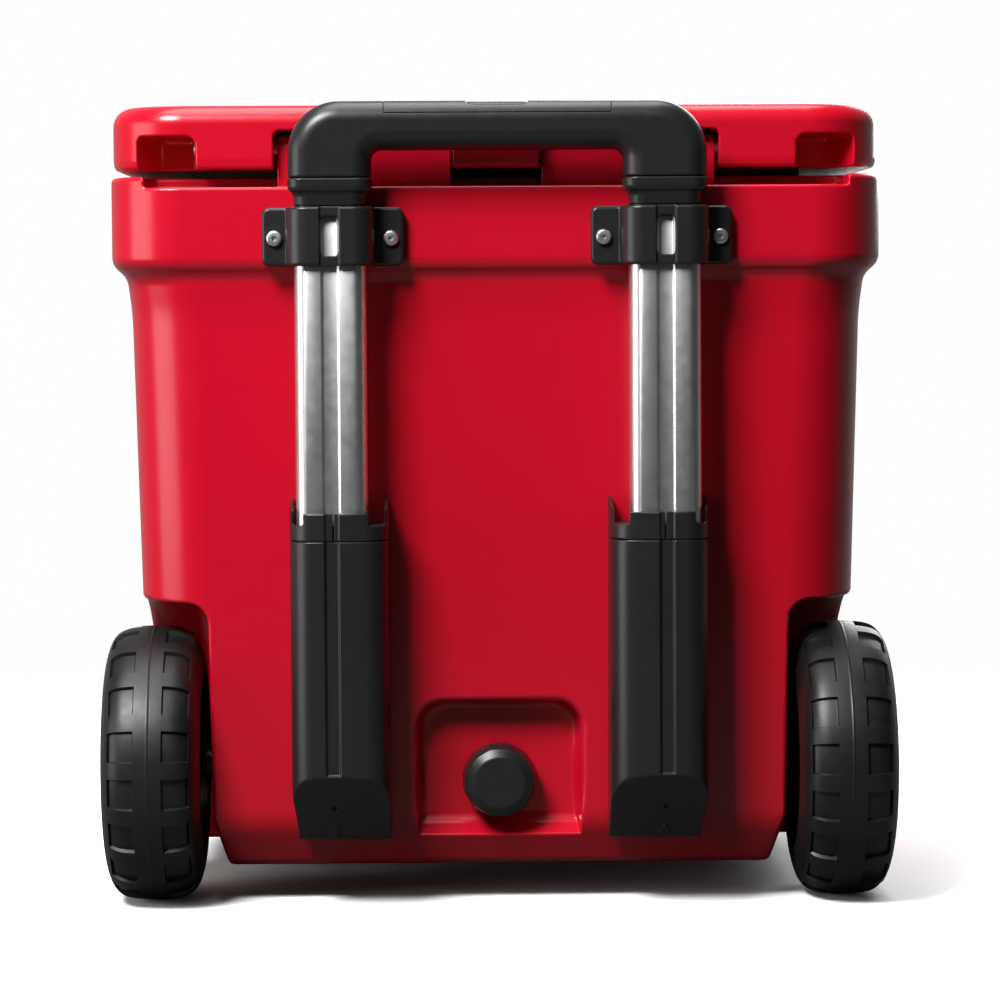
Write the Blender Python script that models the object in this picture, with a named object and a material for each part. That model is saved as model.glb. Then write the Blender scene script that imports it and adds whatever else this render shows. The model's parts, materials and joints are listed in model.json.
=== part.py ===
"""Wheeled hard cooler chest with a two-stage telescoping handle.

The tub is a plastic shell and a liner with foam between them, and the lid is a hollow
plastic shell filled with foam. The front, with the two latches, faces -Y. The rear, with
the handle, the drain and the wheels, faces +Y. Left and right are as seen from behind, so
left is +X. The floor is at Z = 0 and the origin is under the middle of the overall box.
All sizes are in metres.
"""

import math

import bmesh
import bpy
from mathutils import Matrix, Vector

# Overall places
GAP = 0.0003
WALL = 0.004
REAR = 0.2038
COLLAR_DEPTH = 0.415
FRONT = REAR - COLLAR_DEPTH
SIDES = (("left", 1), ("right", -1))

# Tub
BASE_Z = 0.025
CHAMFER_Z = 0.0555
COVE_Z = 0.412
COLLAR_LOW_Z = 0.4345
RIM_Z = 0.4925
SHELF_Z = 0.4850
COLLAR_HALF = 0.260
TUB_TOP_HALF = 0.2480
TUB_LOW_HALF = 0.2392
TUB_TOP_INSET = 0.0105
TUB_LOW_INSET = 0.022
CORNER = 0.050
CORNER_STEPS = 5

# Storage space
FLOOR_Z = 0.0735
MOUTH_HALF = 0.2035
MOUTH_FRONT = FRONT + 0.056
MOUTH_REAR = REAR - 0.061
FLOOR_HALF = 0.190
FLOOR_FRONT = FRONT + 0.068
FLOOR_REAR = REAR - 0.0685
MOUTH_CORNER = 0.040
HUMP_WALL = 0.030

# Lid
LID_LOW_Z = 0.4975
LID_TOP_Z = 0.540
LID_HALF = 0.2585
LID_FRONT = FRONT + 0.002
LID_REAR = REAR - 0.014
LID_FILLET = 0.013
LID_PLUG_LOW_Z = 0.4725
LID_PLUG_CLEAR = 0.005
GASKET_HALF_WIDTH = 0.003
GASKET_OUTSET = 0.0047
GASKET_SEAT_Z = 0.5022

# Lid hinge
HINGE_Y = REAR - 0.035
HINGE_Z = 0.5115
ROD_RADIUS = 0.005
ROD_HALF = 0.2030
KNUCKLE_RADIUS = 0.009
KNUCKLE_IN = 0.0305
KNUCKLE_OUT = 0.1470
SLOT_IN = 0.0290
SLOT_OUT = 0.1490
SLOT_TOP_Z = HINGE_Z + 0.0115
SLOT_FRONT = HINGE_Y - 0.0145
POCKET_IN = 0.2008
POCKET_OUT = 0.2440
POCKET_TOP_Z = 0.5195

# Wheels
WHEEL_RADIUS = 0.094
WHEEL_Y = REAR - 0.060
WHEEL_IN = 0.2010
WHEEL_OUT = 0.2675
RIM_RADIUS = 0.060
AXLE_RADIUS = 0.006
BUSH_RADIUS = 0.0085
WELL_RADIUS = 0.110
WELL_TOP_Z = 0.206
WELL_HALF_TOP = 0.196
WELL_HALF_LOW = 0.1935
TURN_STEPS = 36

# Drain
DRAIN_Z = 0.084
RECESS_HALF = 0.0562
RECESS_LOW_Z = 0.047
RECESS_TOP_Z = 0.139
RECESS_FLOOR_Y = REAR - 0.040
RECESS_CORNER = 0.018
BUSHING_RADIUS = 0.0132
DRAIN_BORE = 0.0105
PLUG_RADIUS = 0.0255
PLUG_FACE_RADIUS = 0.0168
PLUG_FACETS = 12

# Telescoping handle
TUBE_X = 0.1105
TUBE_Y = REAR + 0.018
TUBE_WIDTH = 0.0475
TUBE_DEPTH = 0.024
TUBE_CORNER = 0.008
TUBE_WALL = 0.0018
TUBE_LOW_Z = 0.097
TUBE_TOP_Z = 0.4660
GROOVE_WIDTH = 0.011
GROOVE_DEPTH = 0.0008
MID_WIDTH = 0.042
MID_DEPTH = 0.0176
MID_CORNER = 0.006
MID_LOW_Z = 0.100
MID_TOP_Z = 0.4778
INNER_WIDTH = 0.036
INNER_DEPTH = 0.0124
INNER_CORNER = 0.0045
INNER_LOW_Z = 0.104
INNER_TOP_Z = 0.5118
SLIDE_WALL = 0.0015
HANDLE_REAR = REAR + 0.036
BRACKET_LOW_Z = 0.432
BRACKET_TOP_Z = 0.471
BRACKET_IN = 0.062
BRACKET_OUT = 0.156
EAR_DEPTH = 0.009
BULGE_WIDTH = 0.058
HOUSING_LOW_Z = 0.047
HOUSING_TOP_Z = 0.2505
HOUSING_IN = 0.0735
HOUSING_OUT = 0.1388
RAMP_TOP_Z = 0.0945
HOUSING_COLLAR_TOP_Z = 0.277
BEAD_LOW_Z = 0.482
GRIP_LOW_Z = 0.490
GRIP_UNDER_Z = 0.508
GRIP_TOP_Z = 0.540
GRIP_OUT = 0.138
GRIP_IN = 0.083
GRIP_CORNER = 0.034
COVER_HALF = 0.075
COVER_LOW_Z = 0.5315
BUTTON_HALF = 0.020
BUTTON_DEPTH = 0.018
BUTTON_TRAVEL = 0.004
YOKE_LOW_Z = 0.5175
YOKE_THICK = 0.004
YOKE_HALF = 0.1140
CHANNEL_LOW_Z = 0.5125

# Latches
LATCH_X = 0.115
LATCH_WIDTH = 0.044
LATCH_PIN_Y = FRONT + 0.003
LATCH_PIN_Z = 0.519
LATCH_BARREL = 0.0062
LATCH_PIN_RADIUS = 0.0025
LATCH_OPEN = math.radians(8)
KEEPER_WIDTH = 0.036
KEEPER_RECESS_LOW_Z = 0.440
KEEPER_RECESS_TOP_Z = 0.4665
KEEPER_RECESS_DEEP = 0.0078


def clear_scene():
    for obj in list(bpy.data.objects):
        bpy.data.objects.remove(obj)


# ---------------------------------------------------------------- materials


def material(name, colour, roughness, metallic=0.0):
    made = bpy.data.materials.new(name)
    made.use_nodes = True
    shader = made.node_tree.nodes["Principled BSDF"]
    shader.inputs["Base Color"].default_value = (*colour, 1.0)
    shader.inputs["Roughness"].default_value = roughness
    shader.inputs["Metallic"].default_value = metallic
    return made


def make_materials():
    return {
        "red": material("red_shell", (0.60, 0.012, 0.030), 0.28),
        "liner": material("white_liner", (0.80, 0.80, 0.78), 0.35),
        "black": material("black_plastic", (0.028, 0.028, 0.030), 0.45),
        "tyre": material("tyre_rubber", (0.035, 0.035, 0.037), 0.70),
        "rubber": material("soft_rubber", (0.020, 0.020, 0.021), 0.80),
        "aluminium": material("anodised_aluminium", (0.72, 0.73, 0.75), 0.32, 0.9),
        "steel": material("steel", (0.55, 0.55, 0.56), 0.30, 0.9),
        "foam": material("foam", (0.85, 0.78, 0.55), 0.90),
    }


# ---------------------------------------------------------------- shapes


def object_from(bm, name):
    bmesh.ops.recalc_face_normals(bm, faces=bm.faces)
    mesh = bpy.data.meshes.new(name)
    bm.to_mesh(mesh)
    bm.free()
    made = bpy.data.objects.new(name, mesh)
    bpy.context.scene.collection.objects.link(made)
    return made


def loft(name, rings):
    """A solid through closed rings that all have the same number of points."""
    bm = bmesh.new()
    rows = [[bm.verts.new(point) for point in ring] for ring in rings]
    for low, high in zip(rows, rows[1:]):
        for i, corner in enumerate(low):
            after = (i + 1) % len(low)
            bm.faces.new((corner, low[after], high[after], high[i]))
    bm.faces.new(rows[0])
    bm.faces.new(rows[-1])
    return object_from(bm, name)


def arc(centre, radius, start, end, steps):
    """Points on an arc in a plane, with the angles in degrees."""
    points = []
    for i in range(steps + 1):
        angle = math.radians(start + (end - start) * i / steps)
        points.append((centre[0] + radius * math.cos(angle), centre[1] + radius * math.sin(angle)))
    return points


def rounded_box_outline(low, high, radius, steps=CORNER_STEPS):
    corners = (
        ((high[0] - radius, high[1] - radius), 0),
        ((low[0] + radius, high[1] - radius), 90),
        ((low[0] + radius, low[1] + radius), 180),
        ((high[0] - radius, low[1] + radius), 270),
    )
    points = []
    for centre, start in corners:
        points += arc(centre, radius, start, start + 90, steps)
    return points


def level_ring(half, front, rear, corner, z, steps=CORNER_STEPS):
    outline = rounded_box_outline((-half, front), (half, rear), corner, steps)
    return [(x, y, z) for x, y in outline]


def prism(name, outline, axis, start, end):
    """Extrudes an outline along an axis. The outline's two numbers are the other two axes."""
    place = {
        "X": lambda a, b, along: (along, a, b),
        "Y": lambda a, b, along: (a, along, b),
        "Z": lambda a, b, along: (a, b, along),
    }[axis]
    return loft(name, [[place(a, b, along) for a, b in outline] for along in (start, end)])


def block(name, low, high):
    outline = ((low[0], low[1]), (high[0], low[1]), (high[0], high[1]), (low[0], high[1]))
    return prism(name, outline, "Z", low[2], high[2])


def turned(name, profile, axis, centre, steps=TURN_STEPS):
    """Turns a closed profile of (radius, distance along the axis) round the axis."""
    place = {
        "X": lambda u, v, along: (centre[0] + along, centre[1] + u, centre[2] + v),
        "Y": lambda u, v, along: (centre[0] + u, centre[1] + along, centre[2] + v),
        "Z": lambda u, v, along: (centre[0] + u, centre[1] + v, centre[2] + along),
    }[axis]
    bm = bmesh.new()
    columns = []
    for radius, along in profile:
        if radius == 0:
            columns.append([bm.verts.new(place(0, 0, along))] * steps)
            continue
        turns = [2 * math.pi * i / steps for i in range(steps)]
        columns.append(
            [bm.verts.new(place(radius * math.cos(t), radius * math.sin(t), along)) for t in turns]
        )
    closed = profile[0][0] > 0
    pairs = list(zip(columns, columns[1:] + columns[:1])) if closed else zip(columns, columns[1:])
    for first, second in pairs:
        for i in range(steps):
            after = (i + 1) % steps
            corners = dict.fromkeys((first[i], first[after], second[after], second[i]))
            if len(corners) > 2:
                bm.faces.new(list(corners))
    return object_from(bm, name)


def cylinder(name, radius, axis, centre, start, end, steps=24):
    profile = ((0, start), (radius, start), (radius, end), (0, end))
    return turned(name, profile, axis, centre, steps)


def ring_profile(inner, outer, start, end):
    return ((inner, start), (outer, start), (outer, end), (inner, end))


def combine(target, others, operation):
    """Applies one Boolean for each of the other objects, and removes them."""
    for other in others:
        modifier = target.modifiers.new("cut", "BOOLEAN")
        modifier.operation = operation
        modifier.object = other
        modifier.solver = "EXACT"
    apply_modifiers(target)
    for other in others:
        bpy.data.objects.remove(other)
    return target


def apply_modifiers(target):
    graph = bpy.context.evaluated_depsgraph_get()
    mesh = bpy.data.meshes.new_from_object(target.evaluated_get(graph))
    target.modifiers.clear()
    target.data = mesh


def cut(target, *others):
    return combine(target, others, "DIFFERENCE")


def join(target, *others):
    return combine(target, others, "UNION")


def bevel(target, width, segments=2, angle=30):
    modifier = target.modifiers.new("bevel", "BEVEL")
    modifier.width = width
    modifier.segments = segments
    modifier.limit_method = "ANGLE"
    modifier.angle_limit = math.radians(angle)
    apply_modifiers(target)
    return target


def finish(obj, surface, pivot=None):
    """Gives the object its material and shading, and its parent empty if it moves."""
    obj.data.materials.clear()
    obj.data.materials.append(surface)
    obj.data.shade_smooth()
    obj.data.set_sharp_from_angle(angle=math.radians(32))
    if pivot:
        obj.parent = pivot
        obj.matrix_parent_inverse = Matrix.Translation(-pivot.location)
    return obj


def pivot_at(name, place):
    made = bpy.data.objects.new(name, None)
    made.location = place
    made.empty_display_size = 0.03
    bpy.context.scene.collection.objects.link(made)
    return made


# ---------------------------------------------------------------- tub


def tub_wall(z):
    """Half width, front and rear of the tub's outer wall at a height below the collar."""
    share = (z - CHAMFER_Z) / (COVE_Z - CHAMFER_Z)
    half = TUB_LOW_HALF + (TUB_TOP_HALF - TUB_LOW_HALF) * share
    inset = TUB_LOW_INSET + (TUB_TOP_INSET - TUB_LOW_INSET) * share
    return half, FRONT + inset, REAR - inset


def tub_outline(z, inset):
    half, front, rear = tub_wall(z)
    return level_ring(half - inset, front + inset, rear - inset, CORNER - inset, z)


def tub_block(name, inset, low_z, top_z):
    """The tub's outside up to the rim, or the same shape drawn in by an inset."""
    base_in = 0.019
    half, front, rear = tub_wall(CHAMFER_Z)
    base = level_ring(
        half - base_in - inset, front + base_in + inset, rear - base_in - inset, CORNER - base_in, low_z
    )
    rings = [base, tub_outline(CHAMFER_Z, inset), tub_outline(COVE_Z, inset)]
    cove = ((0.4230, 0.0115), (0.4310, 0.0070), (COLLAR_LOW_Z, 0.0))
    for z, inward in cove:
        rings.append(collar_ring(inward + inset, z + inset))
    rings.append(collar_ring(inset, top_z - 0.004))
    rings.append(collar_ring(inset + 0.004, top_z))
    return loft(name, rings)


def collar_ring(inset, z):
    return level_ring(COLLAR_HALF - inset, FRONT + inset, REAR - inset, CORNER - inset, z)


def storage_block(name, outset, top_z):
    """The storage space, or the same shape grown by an outset. It widens from floor to rim."""
    rounding = 0.012
    low_z = FLOOR_Z + rounding
    share = (top_z - low_z) / (RIM_Z - low_z)
    low = level_ring(
        FLOOR_HALF - rounding + outset,
        FLOOR_FRONT + rounding - outset,
        FLOOR_REAR - rounding + outset,
        MOUTH_CORNER - rounding,
        FLOOR_Z - outset,
    )
    middle = level_ring(
        FLOOR_HALF + outset, FLOOR_FRONT - outset, FLOOR_REAR + outset, MOUTH_CORNER, low_z
    )
    top = level_ring(
        FLOOR_HALF + (MOUTH_HALF - FLOOR_HALF) * share + outset,
        FLOOR_FRONT + (MOUTH_FRONT - FLOOR_FRONT) * share - outset,
        FLOOR_REAR + (MOUTH_REAR - FLOOR_REAR) * share + outset,
        MOUTH_CORNER,
        top_z,
    )
    return loft(name, [low, middle, top])


def hump_block(name, side, shrink):
    """The bulge into the storage space over one wheel."""
    inner = side * (WELL_HALF_TOP - HUMP_WALL + shrink)
    outer = side * (MOUTH_HALF + 0.02)
    front = WHEEL_Y - WELL_RADIUS - HUMP_WALL + shrink
    low = (min(inner, outer), front, FLOOR_Z - 0.02)
    high = (max(inner, outer), REAR, WELL_TOP_Z + HUMP_WALL - shrink)
    return bevel(block(name, low, high), 0.014, 3)


def storage_space(name, outset, top_z):
    """The storage space less its two wheel humps."""
    humps = [hump_block("hump", side, outset) for _, side in SIDES]
    return cut(storage_block(name, outset, top_z), *humps)


def wheel_well(name, side, outset):
    """The space round one wheel, open to the side, the rear and below."""
    radius = WELL_RADIUS + outset
    top = WELL_TOP_Z + outset
    below = -0.02
    outline = [(REAR + 0.02, below), (REAR + 0.02, top), (WHEEL_Y, top)]
    rise = top - WHEEL_RADIUS
    for step in range(1, 7):
        angle = math.radians(90 + 15 * step)
        outline.append((WHEEL_Y + radius * math.cos(angle), WHEEL_RADIUS + rise * math.sin(angle)))
    outline.append((WHEEL_Y - radius - 0.006, below))
    slope = (WELL_HALF_TOP - WELL_HALF_LOW) / (WELL_TOP_Z - BASE_Z)
    rings = []
    for outer in (False, True):
        ring = []
        for y, z in outline:
            inner = WELL_HALF_LOW + slope * (z - BASE_Z) - outset
            ring.append((side * (0.30 if outer else inner), y, z))
        rings.append(ring)
    return loft(name, rings)


def drain_recess(name, outset):
    """The recess round the drain plug, with round upper corners. It is open to the rear."""
    half, top_z = RECESS_HALF + outset, RECESS_TOP_Z + outset
    centre_x, centre_z = half - RECESS_CORNER, top_z - RECESS_CORNER
    outline = [(-half, RECESS_LOW_Z - outset), (half, RECESS_LOW_Z - outset)]
    outline += arc((centre_x, centre_z), RECESS_CORNER, 0, 90, CORNER_STEPS)
    outline += arc((-centre_x, centre_z), RECESS_CORNER, 90, 180, CORNER_STEPS)
    return prism(name, outline, "Y", RECESS_FLOOR_Y - outset, REAR + 0.01)


def foam_space(name, extra):
    """The room between the tub's two walls. The foam is the same shape, a little smaller."""
    space = tub_block(name, WALL + extra, BASE_Z + WALL + extra, SHELF_Z - WALL - extra)
    cutters = [storage_space("room", WALL + extra, RIM_Z + 0.02)]
    cutters += [wheel_well("well", side, WALL + extra) for _, side in SIDES]
    cutters += [keeper_recess(side, WALL + extra) for _, side in SIDES]
    cutters.append(drain_recess("recess", WALL + extra))
    return cut(space, *cutters)


def axle_hole(name, side, radius):
    start, end = sorted((side * 0.165, side * 0.20))
    return cylinder(name, radius, "X", (0, WHEEL_Y, WHEEL_RADIUS), start, end)


def drain_hole(name, radius):
    return cylinder(name, radius, "Y", (0, 0, DRAIN_Z), FLOOR_REAR - 0.03, REAR)


def knuckle(side):
    """One of the tub's two hinge knuckles, which stand on the shelf behind the rim."""
    low = SHELF_Z - 0.003
    outline = [(HINGE_Y + KNUCKLE_RADIUS, low)]
    outline += arc((HINGE_Y, HINGE_Z), KNUCKLE_RADIUS, 0, 180, 8)
    outline.append((HINGE_Y - KNUCKLE_RADIUS, low))
    start, end = sorted((side * KNUCKLE_IN, side * KNUCKLE_OUT))
    return prism("knuckle", outline, "X", start, end)


def latch_recess(name, side, low_z, top_z, deep):
    half = LATCH_WIDTH / 2 + 0.003
    low = (side * LATCH_X - half, FRONT - 0.02, low_z)
    high = (side * LATCH_X + half, FRONT + deep, top_z)
    return block(name, low, high)


def keeper_recess(side, outset):
    """The recess in the tub's collar for a latch keeper."""
    low_z, top_z = KEEPER_RECESS_LOW_Z - outset, KEEPER_RECESS_TOP_Z + outset
    return latch_recess("recess", side, low_z, top_z, KEEPER_RECESS_DEEP + outset)


def make_tub_shell(surfaces):
    """The tub's outer skin with its rim, wheel wells, drain recess and hinge knuckles."""
    shell = tub_block("tub_shell", 0, BASE_Z, RIM_Z)
    shelf = block("shelf", (-0.235, SLOT_FRONT - 0.0015, SHELF_Z), (0.235, REAR + 0.02, RIM_Z + 0.02))
    cutters = [shelf, storage_space("storage", WALL + GAP, RIM_Z + 0.001)]
    cutters += [wheel_well("well", side, 0) for _, side in SIDES]
    cutters.append(drain_recess("recess", 0))
    cut(shell, *cutters)
    join(shell, *[knuckle(side) for _, side in SIDES])
    cutters = [foam_space("space", 0)]
    cutters.append(cylinder("fill", 0.010, "Z", (0, FRONT + 0.115, 0), BASE_Z - 0.01, BASE_Z + 0.012))
    cutters.append(drain_hole("drain", BUSHING_RADIUS + GAP))
    cutters.append(cylinder("rod", ROD_RADIUS + GAP, "X", (0, HINGE_Y, HINGE_Z), -0.16, 0.16))
    cutters += [axle_hole("axle", side, AXLE_RADIUS + GAP) for _, side in SIDES]
    cutters += [keeper_recess(side, 0) for _, side in SIDES]
    cut(shell, *cutters)
    return finish(shell, surfaces["red"])


def make_tub_liner(surfaces):
    """The inner skin round the storage space, with a hump over each wheel."""
    liner = storage_space("tub_liner", WALL, RIM_Z)
    room = storage_space("room", 0, RIM_Z + 0.001)
    cut(liner, room, drain_hole("drain", BUSHING_RADIUS + GAP))
    return finish(liner, surfaces["liner"])


def fill_plug(name, radius, place):
    """A low disc with a short stem, which closes the hole the foam is poured through."""
    stem = radius - GAP
    profile = (
        (0, -0.002),
        (radius + 0.003, -0.002),
        (radius + 0.003, -GAP),
        (stem, -GAP),
        (stem, 0.0037),
        (0, 0.0037),
    )
    return turned(name, profile, "Z", place, 20)


def make_tub_foam(surfaces):
    foam = foam_space("tub_foam", GAP)
    cutters = [drain_hole("drain", BUSHING_RADIUS + 2 * GAP)]
    cutters += [axle_hole("axle", side, AXLE_RADIUS + 2 * GAP) for _, side in SIDES]
    cut(foam, *cutters)
    finish(foam, surfaces["foam"])
    finish(fill_plug("tub_fill_plug", 0.010, (0, FRONT + 0.115, BASE_Z)), surfaces["red"])


def make_feet(surfaces):
    for word, side in SIDES:
        profile = ((0, 0), (0.018, 0), (0.020, 0.002), (0.024, BASE_Z - GAP), (0, BASE_Z - GAP))
        place = (side * 0.170, FRONT + 0.070, 0)
        finish(turned(f"foot_{word}", profile, "Z", place, 24), surfaces["rubber"])


def make_hinge_rod(surfaces):
    chamfer = 0.001
    profile = (
        (0, -ROD_HALF),
        (ROD_RADIUS - chamfer, -ROD_HALF),
        (ROD_RADIUS, chamfer - ROD_HALF),
        (ROD_RADIUS, ROD_HALF - chamfer),
        (ROD_RADIUS - chamfer, ROD_HALF),
        (0, ROD_HALF),
    )
    rod = turned("hinge_rod", profile, "X", (0, HINGE_Y, HINGE_Z), 20)
    finish(rod, surfaces["steel"])


def make_keepers(surfaces):
    back = FRONT + KEEPER_RECESS_DEEP - GAP
    for word, side in SIDES:
        low = (side * LATCH_X - KEEPER_WIDTH / 2, FRONT + 0.0006, 0.4550)
        high = (side * LATCH_X + KEEPER_WIDTH / 2, back, 0.4655)
        keeper = bevel(block(f"latch_keeper_{word}", low, high), 0.0008, 1)
        finish(keeper, surfaces["black"])


# ---------------------------------------------------------------- lid


def lid_ring(z, inset, rear_extra=0.0):
    return level_ring(
        LID_HALF - inset, LID_FRONT + inset, LID_REAR - inset - rear_extra, CORNER - inset, z
    )


def lid_body():
    rings = [lid_ring(LID_LOW_Z, 0.004, 0.004), lid_ring(LID_LOW_Z + 0.004, 0.0, 0.0012)]
    rings.append(lid_ring(LID_LOW_Z + 0.009, 0.0))
    for step in range(5):
        angle = math.radians(90 * step / 4)
        inset = LID_FILLET * (1 - math.cos(angle))
        rings.append(lid_ring(LID_TOP_Z - LID_FILLET * (1 - math.sin(angle)), inset))
    return loft("lid_shell", rings)


def lid_inner_plug(name, inset, low_z, top_z):
    half = MOUTH_HALF - LID_PLUG_CLEAR - inset
    front = MOUTH_FRONT + LID_PLUG_CLEAR + inset
    rear = MOUTH_REAR - LID_PLUG_CLEAR - inset
    corner = MOUTH_CORNER - LID_PLUG_CLEAR - inset
    low = level_ring(half - 0.004, front + 0.004, rear - 0.004, corner - 0.004, low_z)
    middle = level_ring(half, front, rear, corner, low_z + 0.006)
    return loft(name, [low, middle, level_ring(half, front, rear, corner, top_z)])


def gasket_ring(name, half_width, low_z, top_z):
    """A square-edged ring that follows the mouth of the storage space."""
    outlines = []
    for outset in (GASKET_OUTSET - half_width, GASKET_OUTSET + half_width):
        outlines.append(
            rounded_box_outline(
                (-MOUTH_HALF - outset, MOUTH_FRONT - outset),
                (MOUTH_HALF + outset, MOUTH_REAR + outset),
                MOUTH_CORNER + outset,
            )
        )
    inner, outer = outlines
    solid = prism(name, outer, "Z", low_z, top_z)
    return cut(solid, prism("hole", inner, "Z", low_z - 0.01, top_z + 0.01))


def lid_foam_space(name, extra):
    """The foam's room in the lid. The hinge and latch edges stay solid."""
    inset = WALL + extra
    low_z = LID_PLUG_LOW_Z + inset
    step_z = GASKET_SEAT_Z + inset
    lower = lid_inner_plug(name, inset, low_z, step_z + 0.004)
    front, rear = FRONT + 0.020 + extra, SLOT_FRONT - inset
    corner = CORNER - inset
    rings = [
        level_ring(LID_HALF - inset, front, rear, corner, step_z),
        level_ring(LID_HALF - inset, front, rear, corner, LID_TOP_Z - LID_FILLET),
        level_ring(LID_HALF - LID_FILLET - extra, front, rear, corner, LID_TOP_Z - inset),
    ]
    return join(lower, loft("upper", rings))


def lid_slot(side):
    """The pocket in the lid that one of the tub's knuckles stands in."""
    start, end = sorted((side * SLOT_IN, side * SLOT_OUT))
    outline = rounded_box_outline((start, LID_LOW_Z - 0.04), (end, SLOT_TOP_Z), 0.004, 3)
    return prism("slot", outline, "Y", SLOT_FRONT, REAR + 0.02)


def lid_pocket(side):
    """The pocket at a rear corner of the lid, where the hinge rod goes in."""
    start, end = sorted((side * POCKET_IN, side * POCKET_OUT))
    outline = rounded_box_outline((start, LID_LOW_Z - 0.04), (end, POCKET_TOP_Z), 0.005, 3)
    return prism("pocket", outline, "Y", SLOT_FRONT - 0.004, REAR + 0.02)


def make_lid(surfaces, pivot):
    shell = join(lid_body(), lid_inner_plug("plug", 0, LID_PLUG_LOW_Z, LID_LOW_Z + 0.004))
    cutters = [gasket_ring("groove", GASKET_HALF_WIDTH + GAP, LID_LOW_Z - 0.01, GASKET_SEAT_Z)]
    for _, side in SIDES:
        cutters.append(lid_slot(side))
        cutters.append(lid_pocket(side))
        cutters.append(latch_recess("latch", side, LID_LOW_Z - 0.01, 0.5275, 0.0115))
        cutters.append(latch_pin_hole(side))
    cutters.append(cylinder("rod", ROD_RADIUS + GAP, "X", (0, HINGE_Y, HINGE_Z), -0.21, 0.21))
    cutters.append(lid_foam_space("space", 0))
    cutters.append(cylinder("fill", 0.008, "Z", (0, 0, 0), LID_PLUG_LOW_Z - 0.01, LID_PLUG_LOW_Z + 0.010))
    cut(shell, *cutters)
    finish(shell, surfaces["red"], pivot)
    finish(lid_foam_space("lid_foam", GAP), surfaces["foam"], pivot)
    gasket = gasket_ring("lid_gasket", GASKET_HALF_WIDTH, RIM_Z + GAP, GASKET_SEAT_Z - GAP)
    finish(gasket, surfaces["rubber"], pivot)
    plug = fill_plug("lid_fill_plug", 0.008, (0, 0, LID_PLUG_LOW_Z))
    finish(plug, surfaces["red"], pivot)


# ---------------------------------------------------------------- latches


def latch_pin_hole(side):
    reach = LATCH_WIDTH / 2 + 0.007
    place = (side * LATCH_X, LATCH_PIN_Y, LATCH_PIN_Z)
    return cylinder("pin", LATCH_PIN_RADIUS + GAP, "X", place, -reach, reach, 12)


def latch_outline():
    """Side outline of a latch, closed against the tub, as (y, z) from its pin."""
    back, face = -0.0055, -0.0115
    low = -0.104
    outline = arc((0, 0), LATCH_BARREL, -50, 180, 9)
    outline += [(face, -0.016), (face, low + 0.020), (face - 0.006, low + 0.002), (face - 0.004, low)]
    outline += [(back - 0.003, low + 0.004), (back, low + 0.020), (back, -0.0735), (0.0020, -0.0735)]
    outline += [(0.0032, -0.0725), (0.0020, -0.0655), (back, -0.0655), (back, -0.0120)]
    return outline


def make_latches(surfaces, pivots, lid_pivot):
    turn = -LATCH_OPEN
    for word, side in SIDES:
        points = []
        for y, z in latch_outline():
            turned_y = y * math.cos(turn) - z * math.sin(turn)
            turned_z = y * math.sin(turn) + z * math.cos(turn)
            points.append((LATCH_PIN_Y + turned_y, LATCH_PIN_Z + turned_z))
        half = LATCH_WIDTH / 2
        start, end = side * LATCH_X - half, side * LATCH_X + half
        lever = prism(f"latch_{word}", points, "X", start, end)
        bore = LATCH_PIN_RADIUS + GAP
        place = (side * LATCH_X, LATCH_PIN_Y, LATCH_PIN_Z)
        cut(lever, cylinder("bore", bore, "X", place, -0.03, 0.03, 16))
        finish(lever, surfaces["black"], pivots[word])
        pin = cylinder(f"latch_pin_{word}", LATCH_PIN_RADIUS, "X", place, -0.0285, 0.0285, 16)
        finish(pin, surfaces["steel"], lid_pivot)


# ---------------------------------------------------------------- drain


def make_drain(surfaces, pivot):
    centre = (0, 0, DRAIN_Z)
    inner_end = FLOOR_REAR - 0.001
    flange = RECESS_FLOOR_Y + GAP
    profile = (
        (DRAIN_BORE, inner_end),
        (BUSHING_RADIUS, inner_end),
        (BUSHING_RADIUS, flange),
        (0.0190, flange),
        (0.0190, flange + 0.0030),
        (DRAIN_BORE, flange + 0.0030),
    )
    finish(turned("drain_bushing", profile, "Y", centre, 28), surfaces["black"])
    seal_start = flange + 0.0030 + GAP
    seal_end = seal_start + 0.0025
    seal = turned("drain_seal", ring_profile(0.0108, 0.0185, seal_start, seal_end), "Y", centre, 28)
    finish(seal, surfaces["rubber"], pivot)
    finish(drain_plug(centre, seal_end + GAP), surfaces["black"], pivot)


def drain_plug(centre, start):
    """The plug's faceted head tapers to a round face. Its plain stem stands for the thread."""
    head = turned(
        "drain_plug",
        (
            (0, start),
            (PLUG_RADIUS, start),
            (PLUG_RADIUS, start + 0.005),
            (PLUG_FACE_RADIUS + 0.001, start + 0.0205),
            (PLUG_FACE_RADIUS - 0.001, start + 0.022),
            (0, start + 0.022),
        ),
        "Y",
        centre,
        PLUG_FACETS,
    )
    stem = cylinder("stem", DRAIN_BORE - GAP, "Y", centre, FLOOR_REAR + 0.002, start + 0.004)
    return join(head, stem)


# ---------------------------------------------------------------- wheels


def mirrored(profile, side):
    return [(radius, side * along) for radius, along in profile]


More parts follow.
